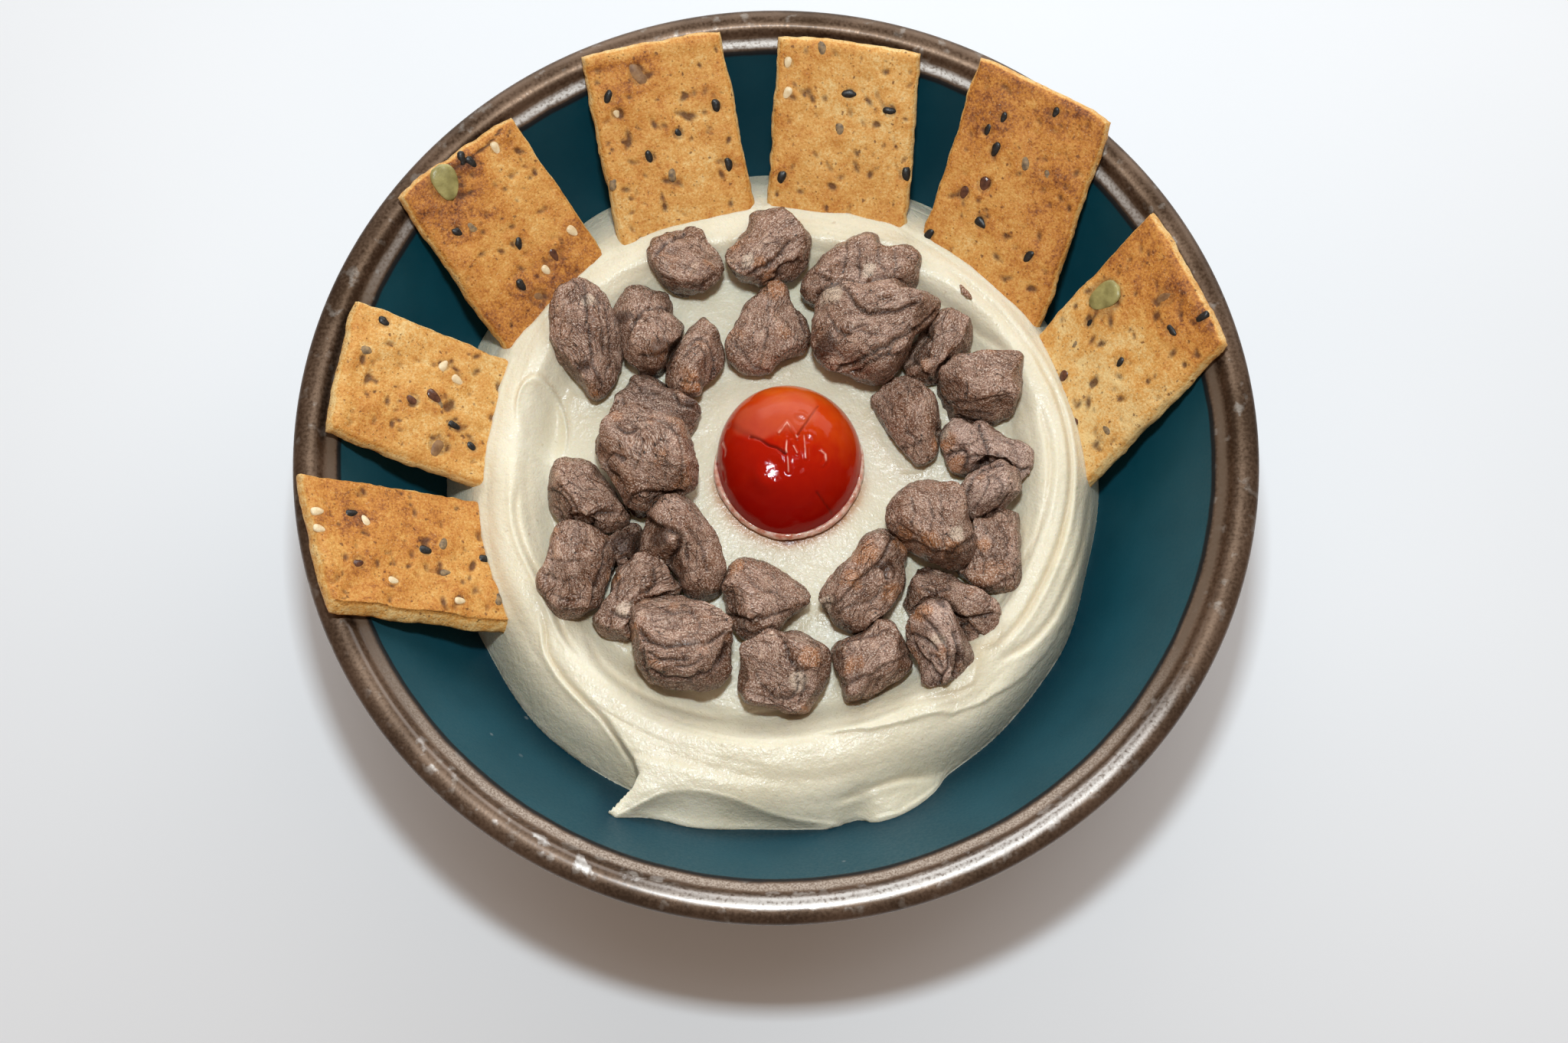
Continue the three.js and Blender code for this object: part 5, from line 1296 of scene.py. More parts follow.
# Folds and creases in the tops of the chunks: the pixels along each, depth, half width, and how far
# its left side stands above its right. A pixel beside its chunk's solid is taken at a share of its
# height.
MISSED_LEVEL = 0.6
BEEF_FOLDS = {
    "beef_02": [
        ([(826, 500), (838, 514), (860, 516)], 0.5, 0.5, 0.2),
        ([(880, 512), (888, 530), (904, 536)], 0.7, 0.6, 0.3),
        ([(812, 520), (818, 536), (830, 542)], 0.5, 0.5, 0.2),
    ],
    "beef_03": [
        ([(822, 784), (844, 771), (855, 760), (853, 744)], 1.0, 0.7, 0.5),
        ([(800, 744), (806, 762), (804, 780)], 0.5, 0.5, 0.2),
        ([(796, 796), (812, 806), (826, 806)], 0.7, 0.6, 0.3),
    ],
    "beef_04": [
        ([(1282, 686), (1298, 706), (1300, 732)], 0.4, 0.45, 0.0),
        ([(1300, 686), (1314, 704), (1312, 730)], 0.4, 0.45, 0.0),
        ([(1268, 716), (1284, 732), (1284, 752)], 0.5, 0.5, 0.2),
    ],
    "beef_05": [
        ([(1224, 790), (1238, 804), (1262, 810), (1296, 802)], 1.1, 0.7, 0.5),
        ([(1246, 824), (1262, 816), (1284, 828)], 1.0, 0.6, 0.3),
        ([(1206, 770), (1222, 776), (1240, 770)], 0.7, 0.6, 0.3),
    ],
    "beef_06": [
        ([(1190, 470), (1206, 488), (1224, 492)], 0.6, 0.6, 0.3),
        ([(1208, 430), (1216, 450), (1210, 470)], 0.5, 0.6, 0.2),
    ],
    "beef_07": [
        ([(858, 338), (866, 325), (878, 315), (894, 308)], 0.55, 0.45, 0.3),
        ([(895, 372), (915, 375), (935, 362)], 0.35, 0.5, 0.0),
    ],
    "beef_08": [
        ([(973, 372), (982, 354), (1000, 347), (1016, 336), (1031, 314)], 0.9, 0.6, 0.5),
        ([(985, 378), (1005, 366), (1020, 350), (1044, 338)], 1.0, 0.7, 0.5),
        ([(962, 345), (972, 352), (980, 349)], 0.5, 0.5, 0.0),
    ],
    "beef_09": [
        ([(1072, 360), (1086, 367), (1103, 368), (1120, 372)], 0.8, 0.6, 0.5),
        ([(1121, 326), (1123, 348), (1120, 372)], 0.6, 0.5, 0.2),
        ([(1147, 322), (1146, 340), (1158, 356)], 0.5, 0.5, 0.2),
        ([(1104, 312), (1106, 330), (1100, 350)], 0.45, 0.45, 0.0),
        ([(1168, 326), (1171, 345), (1166, 362)], 0.45, 0.5, 0.2),
    ],
    "beef_10": [
        ([(1000, 368), (1004, 400), (1001, 440), (994, 472)], 0.4, 0.5, 0.3),
        ([(1040, 395), (1048, 412), (1052, 430)], 0.6, 0.5, 0.2),
        ([(960, 455), (985, 478), (1005, 478)], 0.4, 0.5, 0.0),
    ],
    "beef_11": [
        ([(1182, 562), (1198, 572), (1204, 588)], 0.4, 0.4, 0.0),
        ([(1163, 578), (1184, 582), (1204, 576)], 0.4, 0.4, 0.0),
        ([(1150, 512), (1164, 526), (1166, 540)], 0.35, 0.4, 0.0),
    ],
    "beef_12": [
        ([(1226, 502), (1240, 514), (1262, 520), (1290, 520), (1316, 516)], 0.35, 0.45, 0.3),
        ([(1262, 500), (1263, 512), (1260, 524)], 0.55, 0.4, 0.0),
        ([(1232, 532), (1256, 538), (1286, 540)], 0.35, 0.35, 0.0),
        ([(1234, 522), (1258, 530), (1300, 532)], 0.3, 0.35, 0.0),
    ],
    "beef_13": [
        ([(1226, 592), (1236, 592), (1248, 588), (1258, 584)], 0.9, 0.6, 0.4),
        ([(1255, 585), (1265, 597), (1263, 609), (1258, 622)], 1.0, 0.7, 0.5),
        ([(1278, 562), (1288, 582), (1293, 594), (1288, 609)], 0.9, 0.6, 0.5),
        ([(1262, 600), (1276, 597), (1292, 597)], 0.8, 0.6, 0.4),
        ([(1302, 592), (1317, 604), (1331, 613), (1343, 616)], 0.7, 0.6, 0.4),
    ],
    "beef_14": [
        ([(1075, 787), (1098, 783), (1114, 763), (1131, 748), (1152, 730)], 0.4, 0.5, 0.5),
        ([(1150, 738), (1158, 742), (1160, 752)], 1.2, 0.7, 0.4),
        ([(1166, 702), (1158, 722), (1146, 740)], 0.7, 0.6, 0.3),
        ([(1092, 800), (1115, 790), (1140, 782), (1160, 770)], 0.4, 0.5, 0.0),
    ],
    "beef_15": [
        ([(1092, 884), (1110, 892), (1140, 880), (1168, 866), (1192, 852)], 0.3, 0.5, 0.4),
        ([(1105, 842), (1120, 834), (1150, 826)], 0.3, 0.5, 0.0),
        ([(1150, 845), (1160, 838)], 0.3, 0.4, 0.0),
    ],
    "beef_16": [
        ([(1026, 840), (1032, 858), (1040, 872), (1054, 874)], 1.0, 0.7, 0.5),
        ([(1000, 898), (1014, 912), (1034, 910), (1042, 892), (1038, 872)], 0.7, 0.5, 0.3),
        ([(988, 880), (998, 898)], 0.4, 0.5, 0.0),
        ([(1050, 880), (1052, 900), (1044, 918)], 0.6, 0.5, 0.2),
    ],
    "beef_17": [
        ([(952, 800), (978, 810), (1004, 804), (1030, 794)], 0.7, 0.6, 0.5),
        ([(956, 770), (962, 792), (970, 812)], 0.5, 0.5, 0.3),
        ([(980, 760), (1000, 772), (1018, 770)], 0.3, 0.4, 0.0),
        ([(962, 822), (984, 830), (1010, 818)], 0.5, 0.5, 0.0),
    ],
    "beef_18": [
        ([(720, 642), (734, 650), (744, 664), (750, 684)], 0.8, 0.5, 0.3),
        ([(730, 636), (745, 650), (754, 668)], 0.6, 0.45, 0.2),
        ([(764, 684), (772, 674), (790, 668), (806, 670)], 1.0, 0.7, 0.6),
        ([(722, 662), (732, 670), (738, 686)], 0.6, 0.45, 0.2),
        ([(744, 630), (760, 640), (776, 638)], 0.35, 0.45, 0.0),
    ],
    "beef_19": [
        ([(765, 385), (768, 420), (771, 450), (776, 480), (786, 500)], 0.7, 0.55, 0.3),
        ([(790, 402), (796, 430), (797, 465), (790, 492)], 0.4, 0.4, 0.0),
        ([(781, 395), (786, 425), (787, 460)], 0.35, 0.4, 0.0),
        ([(750, 472), (758, 478), (768, 478)], 0.9, 0.8, 0.0),
        ([(728, 440), (740, 470), (758, 498)], 0.35, 0.45, 0.0),
    ],
    "beef_20": [
        ([(880, 407), (860, 401), (840, 403), (828, 418), (820, 440), (817, 458)], 1.3, 0.8, 0.5),
        ([(838, 468), (862, 470), (888, 452)], 1.3, 0.9, 0.4),
        ([(858, 420), (868, 432), (866, 448)], 0.35, 0.4, 0.0),
    ],
    "beef_21": [
        ([(900, 450), (910, 440), (922, 443), (931, 458), (934, 478), (926, 496)], 0.5, 0.45, 0.2),
        ([(893, 470), (900, 455), (911, 450), (921, 462), (922, 482)], 0.35, 0.4, 0.0),
        ([(888, 498), (903, 503), (918, 498)], 0.5, 0.5, 0.0),
    ],
    "beef_22": [
        ([(770, 784), (776, 754), (790, 728), (794, 706)], 0.7, 0.7, 0.4),
        ([(715, 728), (738, 734), (760, 730)], 0.35, 0.35, 0.0),
        ([(712, 750), (736, 757), (760, 752)], 0.35, 0.35, 0.0),
        ([(718, 772), (740, 782), (764, 778)], 0.35, 0.35, 0.0),
        ([(722, 705), (742, 712), (764, 708)], 0.3, 0.35, 0.0),
    ],
    "beef_23": [
        ([(842, 676), (856, 688), (874, 692), (892, 700), (884, 718), (868, 730)], 1.5, 0.9, 0.7),
        ([(884, 694), (898, 710), (896, 728)], 0.5, 0.5, 0.2),
        ([(900, 690), (916, 712), (922, 742)], 0.4, 0.5, 0.2),
        ([(876, 742), (884, 760), (896, 776)], 0.6, 0.5, 0.0),
    ],
    "beef_24": [
        ([(836, 822), (848, 836), (868, 843), (892, 840), (920, 838), (948, 826)], 0.9, 0.7, 0.6),
        ([(846, 852), (864, 862), (896, 860)], 0.8, 0.5, 0.3),
        ([(884, 872), (902, 869), (918, 860)], 0.7, 0.45, 0.2),
        ([(848, 872), (866, 884), (900, 890), (930, 884)], 0.7, 0.5, 0.3),
        ([(838, 846), (840, 866), (850, 892)], 0.7, 0.5, 0.2),
        ([(950, 842), (946, 862), (936, 880)], 0.8, 0.6, 0.3),
        ([(862, 795), (880, 800), (900, 796), (914, 812), (908, 826)], 0.35, 0.4, 0.0),
    ],
    "beef_25": [
        ([(815, 600), (800, 592), (788, 600), (796, 612), (808, 622)], 1.0, 0.7, 0.5),
        ([(840, 575), (836, 596), (828, 612)], 0.5, 0.5, 0.2),
        ([(868, 560), (872, 590), (868, 622)], 0.4, 0.4, 0.0),
        ([(886, 565), (892, 595), (890, 628)], 0.4, 0.4, 0.0),
        ([(846, 640), (866, 636), (892, 640)], 0.7, 0.6, 0.3),
        ([(818, 660), (832, 648), (846, 640)], 0.8, 0.6, 0.4),
        ([(806, 556), (818, 564), (830, 560)], 0.8, 0.6, 0.3),
        ([(850, 546), (870, 552), (884, 564)], 0.5, 0.5, 0.0),
    ],
    "beef_26": [
        ([(1062, 384), (1078, 378), (1098, 372), (1122, 376), (1150, 368),
          (1180, 362)], 1.3, 0.8, 0.6),
        ([(1100, 385), (1118, 400), (1136, 410), (1168, 407), (1198, 395)], 0.8, 0.7, 0.4),
        ([(1098, 478), (1130, 468), (1156, 452), (1172, 438), (1196, 428),
          (1222, 410)], 1.5, 0.8, 0.7),
        ([(1112, 488), (1142, 474), (1160, 462), (1166, 448)], 1.0, 0.6, 0.4),
        ([(1158, 458), (1166, 470), (1182, 462), (1192, 444)], 0.9, 0.6, 0.3),
        ([(1080, 410), (1092, 428), (1104, 436), (1134, 424)], 0.5, 0.45, 0.0),
        ([(1110, 436), (1128, 432), (1150, 440)], 0.35, 0.4, 0.0),
        ([(1088, 455), (1104, 466), (1124, 458)], 0.4, 0.5, 0.0),
    ],
    "beef_27": [
        ([(1152, 694), (1176, 702), (1198, 706), (1218, 718), (1244, 720),
          (1272, 708)], 0.4, 0.5, 0.5),
        ([(1214, 655), (1218, 672), (1216, 694)], 0.4, 0.35, 0.0),
        ([(1226, 645), (1231, 664), (1229, 684)], 0.4, 0.35, 0.0),
        ([(1190, 652), (1196, 672), (1192, 688)], 0.3, 0.35, 0.0),
        ([(1160, 716), (1190, 730), (1225, 742)], 0.6, 0.5, 0.2),
    ],
    "beef_28": [
        ([(1262, 644), (1270, 622), (1288, 608), (1308, 606)], 0.5, 0.45, 0.2),
        ([(1272, 664), (1286, 644), (1292, 618)], 0.45, 0.4, 0.0),
        ([(1262, 684), (1284, 672), (1304, 662), (1318, 644)], 0.6, 0.5, 0.3),
        ([(1300, 620), (1310, 634), (1306, 652)], 0.4, 0.4, 0.0),
    ],
    "beef_29": [
        ([(1186, 816), (1194, 834), (1202, 852), (1216, 866), (1228, 886)], 1.0, 0.6, 0.5),
        ([(1204, 808), (1224, 826), (1238, 846), (1240, 868), (1228, 890)], 0.9, 0.6, 0.5),
        ([(1246, 826), (1253, 850), (1248, 878)], 1.1, 0.7, 0.4),
        ([(1196, 826), (1212, 836), (1224, 848)], 0.8, 0.6, 0.3),
        ([(1214, 852), (1226, 856), (1230, 870)], 0.5, 0.45, 0.0),
    ],
}


def rounded_copy(node):
    """Points, normals and faces of a node, remeshed finely with its edges rounded."""
    helper = bpy.data.objects.new("helper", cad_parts[node].data.copy())
    bpy.context.scene.collection.objects.link(helper)
    remesh = helper.modifiers.new("remesh", "REMESH")
    remesh.mode, remesh.voxel_size = "VOXEL", BEEF_VOXEL * MM
    smooth = helper.modifiers.new("smooth", "SMOOTH")
    smooth.factor, smooth.iterations = 0.5, 4
    graph = bpy.context.evaluated_depsgraph_get()
    mesh = bpy.data.meshes.new_from_object(helper.evaluated_get(graph))
    bpy.data.objects.remove(helper)
    points = np.zeros(len(mesh.vertices) * 3, np.float32)
    mesh.vertices.foreach_get("co", points)
    faces = [list(polygon.vertices) for polygon in mesh.polygons]
    bpy.data.meshes.remove(mesh)
    return points.reshape(-1, 3).astype(float) / MM, faces


def normals_of(points, faces):
    """Unit normals at the points of a quad mesh."""
    quads = np.array([face if len(face) == 4 else [*face, face[0]] for face in faces])
    a, b, c, d = (points[quads[:, k]] for k in range(4))
    across = np.cross(c - a, d - b)
    total = np.zeros_like(points)
    for k in range(4):
        np.add.at(total, quads[:, k], across)
    return total / np.maximum(np.linalg.norm(total, axis=1, keepdims=True), 1e-9)


def long_axes(points):
    """Axes of a cloud of points, the longest first."""
    _, _, axes = np.linalg.svd(points - points.mean(0), full_matrices=False)
    return axes.T


def strands(points, size, seed):
    """Bundles of fibres with a sharp valley between them, about 0 on average."""
    return np.sqrt(np.abs(noise(points, size, seed)) + 0.01) - 0.5


def knife_cuts(points, axes, rng):
    """Flattens a chunk's top and sides, as a knife leaves them, with rounded edges between, and
    keeps its size."""
    middle = np.array([*points.mean(0)[:2], points[:, 2].min()])
    size = np.ptp(points, axis=0)
    centred = points - middle
    directions = [sign * axis for axis in axes.T for sign in (1, -1)]
    directions += [axes @ rng.normal(size=3) for _ in range(3)]
    for direction in directions:
        normal = direction / np.linalg.norm(direction) + rng.normal(scale=0.2, size=3)
        normal /= np.linalg.norm(normal)
        depth = rng.uniform(*CUT_DEPTHS)
        if normal[2] < LOWEST_CUT:
            continue
        beyond = centred @ normal - (centred @ normal).max() + depth
        removed = 0.5 * (beyond + np.sqrt(beyond ** 2 + CUT_SOFTNESS ** 2))
        removed *= smoothstep(-2.5, 0.5, beyond)
        centred = centred - removed[:, None] * normal
    return centred * np.clip(size / np.ptp(centred, axis=0), 1, 1.2) + middle


def outline_reach(offsets, bins=90):
    """How far a cloud of points reaches in each direction of the plan, as a function of angle."""
    angle = np.arctan2(offsets[:, 1], offsets[:, 0])
    place = ((angle + np.pi) / (2 * np.pi) * bins).astype(int) % bins
    reach = np.zeros(bins)
    np.maximum.at(reach, place, np.hypot(offsets[:, 0], offsets[:, 1]))
    reach = (np.roll(reach, 1) + 2 * reach + np.roll(reach, -1)) / 4
    middles = (np.arange(bins) + 0.5) * 2 * np.pi / bins - np.pi
    return lambda turn: np.interp(turn, middles, reach, period=2 * np.pi)


def reshaped(points, outline):
    """Chunk moved in plan so that its outline follows a closed line of points."""
    corners = np.array(outline)
    share = np.linspace(0, 1, 40, endpoint=False)[:, None]
    line = np.concatenate([a + (b - a) * share for a, b in zip(corners, np.roll(corners, -1, axis=0))])
    middle, own = line.mean(0), points[:, :2].mean(0)
    offsets = points[:, :2] - own
    turn = np.arctan2(offsets[:, 1], offsets[:, 0])
    ratio = outline_reach(line - middle)(turn) / outline_reach(offsets)(turn)
    return np.concatenate([middle + offsets * ratio[:, None], points[:, 2:]], axis=1)


def fold_at(x, y, line):
    """Distance from a line of points in plan, and 1 on its left side or 0 on its right."""
    nearest, left = np.full(len(x), np.inf), np.zeros(len(x))
    for a, b in zip(line[:-1], line[1:]):
        off = off_segment(x, y, a, b)
        side = (b[0] - a[0]) * (y - a[1]) - (b[1] - a[1]) * (x - a[0])
        left = np.where(off < nearest, side > 0, left)
        nearest = np.minimum(nearest, off)
    return nearest, left


def folded(points, normals, name):
    """Height that a chunk's own folds add, and darkness in their grooves, which is painted shade."""
    x, y = points[:, 0], points[:, 1]
    height, dark = np.zeros(len(points)), np.zeros(len(points))
    waver = 0.35 * noise(points, 1.6, 91)
    for line, depth, half, step in BEEF_FOLDS.get(name, []):
        off, left = fold_at(x + waver, y - waver, seen_on(line, name))
        groove = bump_at(off, 0, 0.6 * half)
        height += step * (2 * left - 1) * (1 - groove) * np.exp(-off / 1.6) - depth * groove
        dark = np.maximum(dark, min(1.0, 0.45 + 0.7 * depth) * groove)
    facing = smoothstep(-0.1, 0.25, normals[:, 2])
    return height * facing, dark * facing


def spotted(points, kind):
    """Strength of the spots of one kind at each point, 0 to 1."""
    x = points[:, 0] + 0.9 * noise(points, 1.8, 92)
    y = points[:, 1] + 0.9 * noise(points, 1.8, 93)
    strength = np.zeros(len(points))
    for across, down, radius, height in BEEF_SPOTS[kind]:
        spot_x, spot_y = seen_at([(across, down)], height)[0]
        off = np.hypot(x - spot_x, y - spot_y) / round(radius * PIXEL_SIZE, 1)
        strength = np.maximum(strength, smoothstep(1.25, 0.7, off))
    return strength


def beef_chunk(name, number):
    """Points and faces of a chunk, the values that colour it, and its points' places along its
    fibres."""
    rng = np.random.default_rng(900 + number)
    points, faces = rounded_copy(name)
    axes = long_axes(points)
    points = knife_cuts(points, axes, rng)
    if name in BEEF_OUTLINES:
        points = reshaped(points, seen_at(BEEF_OUTLINES[name], level_in(name, OUTLINE_LEVEL)))
    local = (points - points.mean(0)) @ axes + 100 * number
    bend = np.stack([noise(local, 5.0, 60 + k) for k in range(3)], -1)
    fibre_place = local + 1.5 * bend
    lumps = 0.5 * noise(local, 5.5, 61) + 0.22 * noise(local, 2.6, 62)
    points = points + normals_of(points, faces) * lumps[:, None]
    normals = normals_of(points, faces)

    wrinkled = smoothstep(-0.25, 0.35, noise(local, 6.5, 69))
    bundle = strands(fibre_place, (8, 2.8, 2.8), 65)
    strand = strands(fibre_place, (5, 1.25, 1.25), 66)
    crack_and_shade = bump_at(noise(fibre_place, (12, 5.0, 5.0), 63), 0, 0.045)
    crack_and_shade = crack_and_shade * smoothstep(-0.2, 0.3, noise(local, 7, 64)) * (0.4 if name in BEEF_FOLDS else 1.0)
    fold, dark = folded(points, normals, name)
    relief = (0.05 + 0.30 * wrinkled) * bundle + 0.24 * strand + 0.13 * noise(local, 0.95, 67)
    points = points + normals * (relief + fold - 0.9 * crack_and_shade)[:, None]

    height = (points[:, 2] - points[:, 2].min()) / np.ptp(points[:, 2])
    facing = smoothstep(-0.2, 0.3, normals[:, 2])
    browned = smoothstep(0.35, 0.75, noise(local, 3.4, 68)) * smoothstep(0.25, 0.6, height)
    browned = 0.6 * browned * (rng.random() < BROWNED_SHARE)
    # Darker, browner sides that face away from the top: seared crust and painted shade.
    seared_and_shaded = smoothstep(0.85, 0.3, normals[:, 2]) * smoothstep(-0.9, 0.0, noise(local, 5, 70))
    # Painted shade in the cracks, the folds' grooves and the wrinkles' valleys, on the lower parts, and in
    # the dark spots.
    valley_shade = np.clip(crack_and_shade + dark + 0.7 * wrinkled * np.clip(-bundle - 0.15, 0, 1), 0, 1)
    shaded = smoothstep(0.55, 0.05, height) * smoothstep(0.7, 0.3, normals[:, 2])
    darkest_shade = 0.85 * np.maximum(shaded, facing * spotted(points, "dark"))
    values = {"crack_and_shade": np.maximum(valley_shade, darkest_shade),
              "browned": np.maximum(browned, facing * spotted(points, "browned")),
              "seared_and_shaded": seared_and_shaded,
              "fat_and_highlight": facing * spotted(points, "fat_and_highlight"),
              "tone": np.full(len(points), float(BEEF_TONES.get(name, 0)))}
    return points, faces, values, fibre_place


def build_beef():
    finish = beef_finish()
    for number, name in enumerate(nodes_of("beef"), 1):
        points, faces, values, fibre_place = beef_chunk(name, number)
        chunk = make_piece(f"{name}_chunk", points, faces, finish, "beef", values,
                           {"grain_place": fibre_place})
        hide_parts(name)


def build_crumb():
    """Small flake of beef that lies on the hummus."""
    a, b = seen_at(CRUMB_ENDS, CRUMB_HEIGHT)
    share = np.linspace(0, 1, 12)
    path = a + np.outer(share, b - a)
    across = np.array([b[1] - a[1], a[0] - b[0]]) / math.dist(a, b)
    half = 0.75 * np.sin(np.pi * np.clip(share, 0.04, 0.96)) ** 0.6
    height, _ = hummus_form(path[:, 0], path[:, 1])
    rings = []
    for angle in np.linspace(0, 2 * np.pi, 12, endpoint=False):
        place = path + np.outer(half * math.cos(angle), across)
        rings.append(np.column_stack([place, height + 0.9 + 0.6 * half * math.sin(angle)]))
    rings = np.array(rings).transpose(1, 0, 2)
    points, faces = skin_of_rings(rings, rings[0].mean(0), rings[-1].mean(0))
    points = points + 0.22 * np.stack([noise(points, 1.1, 94 + k) for k in range(3)], -1)
    values = {key: np.full(len(points), value) for key, value in CRUMB_VALUES.items()}
    make_piece("beef_crumb", points, faces, bpy.data.materials["beef_roast"], "beef", values,
               {"grain_place": points})


# ---- Tomato -----------------------------------------------------------------------------------

TOMATO_RADIUS, TOMATO_HEIGHT = 16.5, 14.0
TOMATO_LONGER = 1.085
TOMATO_AT = (2.8, 1.35)
TOMATO_LIFT = 0.3
TOMATO_STEPS = 240

# Rings under the skin's edge: share of the radius, and distance below the cut face.
TOMATO_UNDERSIDE = [(0.995, 0.5), (0.975, 1.0), (0.97, 2.0), (0.6, 2.0), (0.02, 2.0)]

# Slits in the skin, darkened by painted shade, then folds of loose skin, which get pale lines of painted
# highlight: the points along each, depth, half width and darkness.
SLITS = [
    ([(-8.4, 1.6), (-6.4, 0.6), (-4.4, -1.0), (-2.6, -1.6), (-0.8, -2.9)], 0.42, 0.30, 0.8),
    ([(-13.4, 6.2), (-11.0, 3.5), (-8.4, 1.6)], 0.16, 0.6, 0.2),
    ([(6.6, 9.4), (4.2, 5.0), (2.7, 2.7), (1.8, 1.0)], 0.26, 0.22, 0.5),
    ([(6.2, -10.7), (8.0, -12.4), (9.6, -13.4)], 0.28, 0.24, 0.6),
    ([(-2.2, 2.0), (-0.4, 4.4), (1.8, 1.0)], -0.15, 0.32, 0.0),
    ([(-0.4, 0.8), (-0.6, -2.0), (-0.2, -4.3), (-0.1, -6.9)], -0.15, 0.32, 0.0),
    ([(0.5, 0.1), (1.1, -1.3), (1.8, -2.7)], -0.15, 0.32, 0.0),
    ([(3.3, 2.3), (3.5, -0.6), (3.7, -3.8)], -0.15, 0.32, 0.0),
    ([(7.1, -1.9), (8.1, -2.7), (8.2, -4.0), (7.5, -5.1)], -0.15, 0.32, 0.0),
    ([(-15.0, 2.8), (-14.1, 0.3), (-14.3, -1.0)], 0.16, 0.25, 0.0),
    ([(-15.4, -2.0), (-14.4, -4.4), (-14.2, -6.4)], 0.16, 0.25, 0.0),
]
TOP_TILT = 0.05
LOOSE_LINE = [(-7.5, 5), (1.5, 8)]

# Dented spots that face the light: middle, radius and how broken up they are.
DENTS = [((-4.2, -6.9), 3.5, 0.055), ((2.7, 5.8), 1.5, 0.05), ((4.5, 1.1), 1.4, 0.05),
         ((2.9, -6.6), 0.9, 0.05)]
DENT_SLOPE = 0.164


def tomato_radius(share, turn):
    """Radius of a share of the tomato, which is slightly three-sided."""
    return TOMATO_RADIUS * share * (1 + 0.012 * np.sin(3 * turn + 1))


def tomato_height(x, y, level, flat):
    """Height of the skin over the cut face: a dome, puckered at its top, with dented spots."""
    z = TOMATO_HEIGHT * (1 - level ** 2.6) ** 0.62
    puckered = np.exp(-(((x - 0.8) / 6.0) ** 2) - ((y + 0.8) / 6.5) ** 2)
    z += puckered * (0.11 * noise(flat, 2.3, 71) + 0.06 * noise(flat, 1.2, 72) - TOP_TILT * x)
    z += 0.10 * noise(flat, 5.0, 73) * (level < 0.9)
    for (dent_x, dent_y), radius, broken in DENTS:
        dx, dy = x - dent_x, y - dent_y
        off = np.hypot(dx, dy)
        face = z[np.argmin(off)] + DENT_SLOPE * dy + broken * noise(flat, 0.9, 77)
        z += np.exp(-((off / radius) ** 4)) * (face - z)
    return z


def build_tomato():
    turn = np.linspace(0, 2 * np.pi, TOMATO_STEPS, endpoint=False)
    level = np.concatenate([np.linspace(0.01, 0.62, 80), np.linspace(0.63, 0.9, 20),
                            1 - 0.1 * np.linspace(1, 0, 22)[1:] ** 2])
    level, turn_grid = np.meshgrid(level, turn, indexing="ij")
    r = tomato_radius(level, turn_grid)
    x, y = (r * np.cos(turn_grid)).ravel(), (TOMATO_LONGER * r * np.sin(turn_grid)).ravel()
    flat = np.stack([x, y, 0 * x], -1)
    z = tomato_height(x, y, level.ravel(), flat)
    slit_shade, ridge_highlight = np.zeros_like(x), np.zeros_like(x)
    for line, depth, half, dark in SLITS:
        off = off_line(x, y, line) + 0.12 * noise(flat, 1.4, 74)
        beside = (0.4 - 0.4 * dark) * bump_at(off, 2.2 * half, 0.8 * half)
        z -= depth * (bump_at(off, 0, half) - beside)
        # Darkness in the slit: painted shade.
        slit_shade = np.maximum(slit_shade, dark * bump_at(off, 0, half))
        broken = smoothstep(-0.35, 0.1, noise(flat, 1.3, 78))
        # Pale lines along the folds of loose skin: painted highlight.
        ridge_highlight = np.maximum(ridge_highlight, (dark == 0) * broken * bump_at(off, 0, 0.14))
    edge = off_segment(x, y, *LOOSE_LINE) + 0.8 * noise(flat, 3, 75)
    loose = smoothstep(5.9, 4.1, edge) * smoothstep(-1.2, 0.9, (y + 3.0) + 0.55 * x)
    # Skin more orange towards the back and deeper red towards the front.
    skin_orange = 0.45 + 0.030 * y + 0.008 * x + 0.07 * noise(flat, 6, 76)

    middle = np.array([*TOMATO_AT, tomato_base()])
    rings = (np.stack([x, y, z], -1) + middle).reshape(*level.shape, 3)
    lower = []
    for share, drop in TOMATO_UNDERSIDE:
        outline = tomato_radius(share, turn)
        side = TOMATO_LONGER * outline * np.sin(turn)
        lower.append(np.stack([outline * np.cos(turn), side, 0 * turn - drop], -1) + middle)
    points, faces = skin_of_rings(np.concatenate([rings, lower]), rings[0].mean(0), middle - [0, 0, 2.0])
    skin_orange = np.pad(skin_orange, (0, len(points) - len(x)), constant_values=0.3)
    values = {"skin_orange": skin_orange, "loose": loose, "slit_shade": slit_shade, "ridge_highlight": ridge_highlight}
    half = make_piece("tomato_skin", points, faces, tomato_finish(), "tomato", values)
    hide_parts("tomato_half")
    build_tomato_edge(middle)


def tomato_base():
    """Height of the surface that the tomato lies on."""
    x, y = (np.array([place]) for place in TOMATO_AT)
    return float(hummus_form(x, y)[0][0]) + TOMATO_LIFT


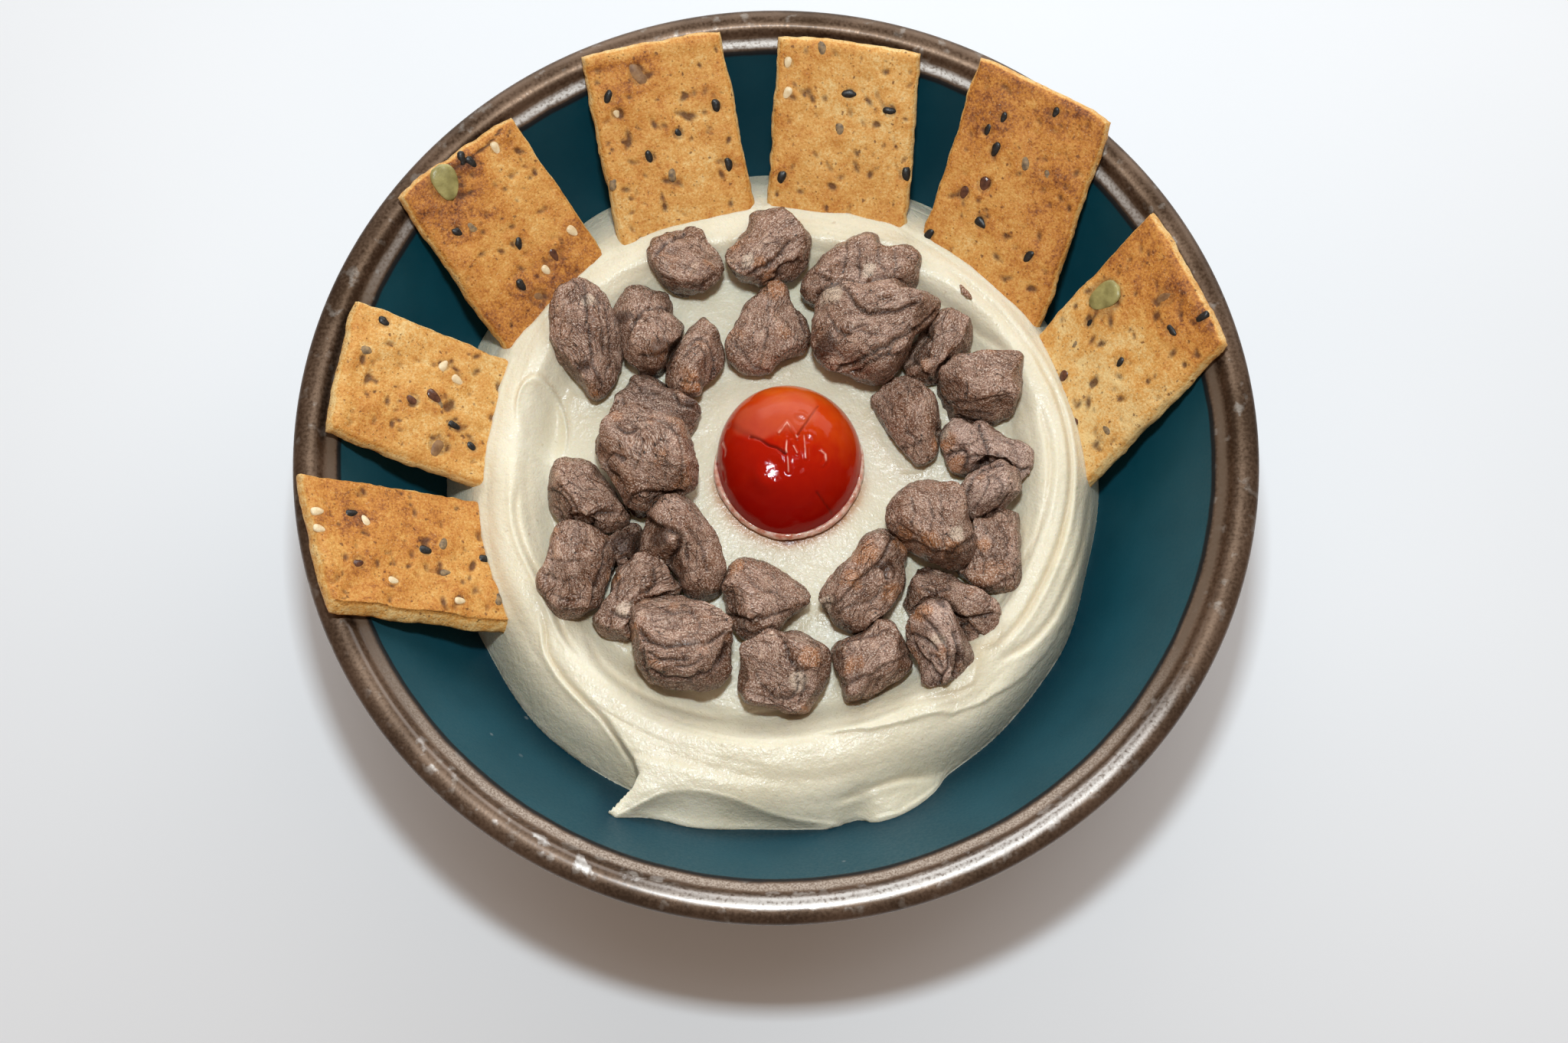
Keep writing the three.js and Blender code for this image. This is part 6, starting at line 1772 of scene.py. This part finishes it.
def build_tomato_edge(middle):
    """Cut edge that shows as a pale lip round the front of the tomato."""
    degrees = np.linspace(172, 382, 200)
    turn = np.radians(degrees)
    ends = smoothstep(172, 196, degrees) * smoothstep(382, 352, degrees)
    path = np.stack([np.cos(turn), np.sin(turn), 0 * turn], -1)
    wave = noise(path * 12, 2.2, 81)
    fine = noise(path * 40, 2.2, 82)
    rings, below = [], []
    for angle in np.linspace(0, 2 * np.pi, 18, endpoint=False):
        out = (0.75 + 0.12 * fine) * math.cos(angle) * ends
        up = (1.0 + 0.25 * wave + 0.12 * fine) * math.sin(angle) * ends
        r = TOMATO_RADIUS + 0.05 + 0.18 * wave + out
        rings.append(np.stack([r * path[:, 0], TOMATO_LONGER * r * path[:, 1], up + 0.7], -1))
        # The edge's underside gets painted shade.
        below.append(0 * ends + smoothstep(-0.1, -0.5, math.sin(angle)))
    rings = np.array(rings).transpose(1, 0, 2) + middle
    points, faces = skin_of_rings(rings, rings[0].mean(0), rings[-1].mean(0))
    make_piece("tomato_cut_edge", points, faces, flesh_finish(), "tomato",
               {"below": np.array(below).T.ravel()})


# ---- Surroundings -----------------------------------------------------------------------------

FLOOR_SIZE = 3.0


def build_floor():
    finish = Finish("table_top", Roughness=0.5)
    tone = finish.grain(180.0, 2.0).ramp((0.3, (0.80, 0.815, 0.835)), (0.7, (0.84, 0.85, 0.865)))
    half = FLOOR_SIZE / 2
    mesh = bpy.data.meshes.new("table_top")
    corners = [(-half, -half, 0), (half, -half, 0), (half, half, 0), (-half, half, 0)]
    mesh.from_pydata(corners, [], [(0, 1, 2, 3)])
    mesh.materials.append(finish.to(Base_Color=tone))
    floor = bpy.data.objects.new("table_top", mesh)
    bpy.context.scene.collection.objects.link(floor)


def add_light(name, place, aim, width, height, watts, colour):
    light = bpy.data.lights.new(name, "AREA")
    light.shape = "RECTANGLE"
    light.size, light.size_y, light.energy, light.color = width, height, watts, colour
    lamp = bpy.data.objects.new(name, light)
    lamp.location = place
    lamp.rotation_euler = (Vector(aim) - Vector(place)).to_track_quat("-Z", "Y").to_euler()
    lamp.visible_camera = False
    bpy.context.scene.collection.objects.link(lamp)


def build_lights():
    add_light("key", (0.0, -0.007, 0.534), (0, 0.28, 0), 0.045, 0.045, 1.85, (0.82, 0.93, 1.0))
    add_light("window", (0.11, 0.11, 1.6), (0, 0, 0), 0.42, 0.3, 1.0, (0.95, 0.98, 1.0))
    add_light("back_fill", (0.2, 1.2, 0.66), (0, 0, 0), 2.4, 0.8, 19.0, (0.85, 0.94, 1.0))
    world = bpy.data.worlds.new("room")
    world.use_nodes = True
    background = world.node_tree.nodes["Background"]
    background.inputs["Color"].default_value = (1.0, 0.77, 0.61, 1)
    background.inputs["Strength"].default_value = 0.34
    bpy.context.scene.world = world
    bpy.context.scene.view_settings.view_transform = "Standard"


def build_camera():
    camera = bpy.data.cameras.new("camera")
    camera.sensor_width = SENSOR_WIDTH
    camera.lens = FOCAL_PIXELS / IMAGE_WIDTH * SENSOR_WIDTH
    camera.clip_start = 0.01
    viewer = bpy.data.objects.new("camera", camera)
    viewer.location = CAMERA_PLACE
    viewer.rotation_euler = (math.radians(CAMERA_TILT), 0, 0)
    bpy.context.scene.collection.objects.link(viewer)
    bpy.context.scene.camera = viewer


# ---- The whole scene --------------------------------------------------------------------------

build_camera()
build_floor()
build_lights()
build_bowl()
build_hummus()
build_crackers()
build_beef()
build_crumb()
build_tomato()

bpy.context.view_layer.update()
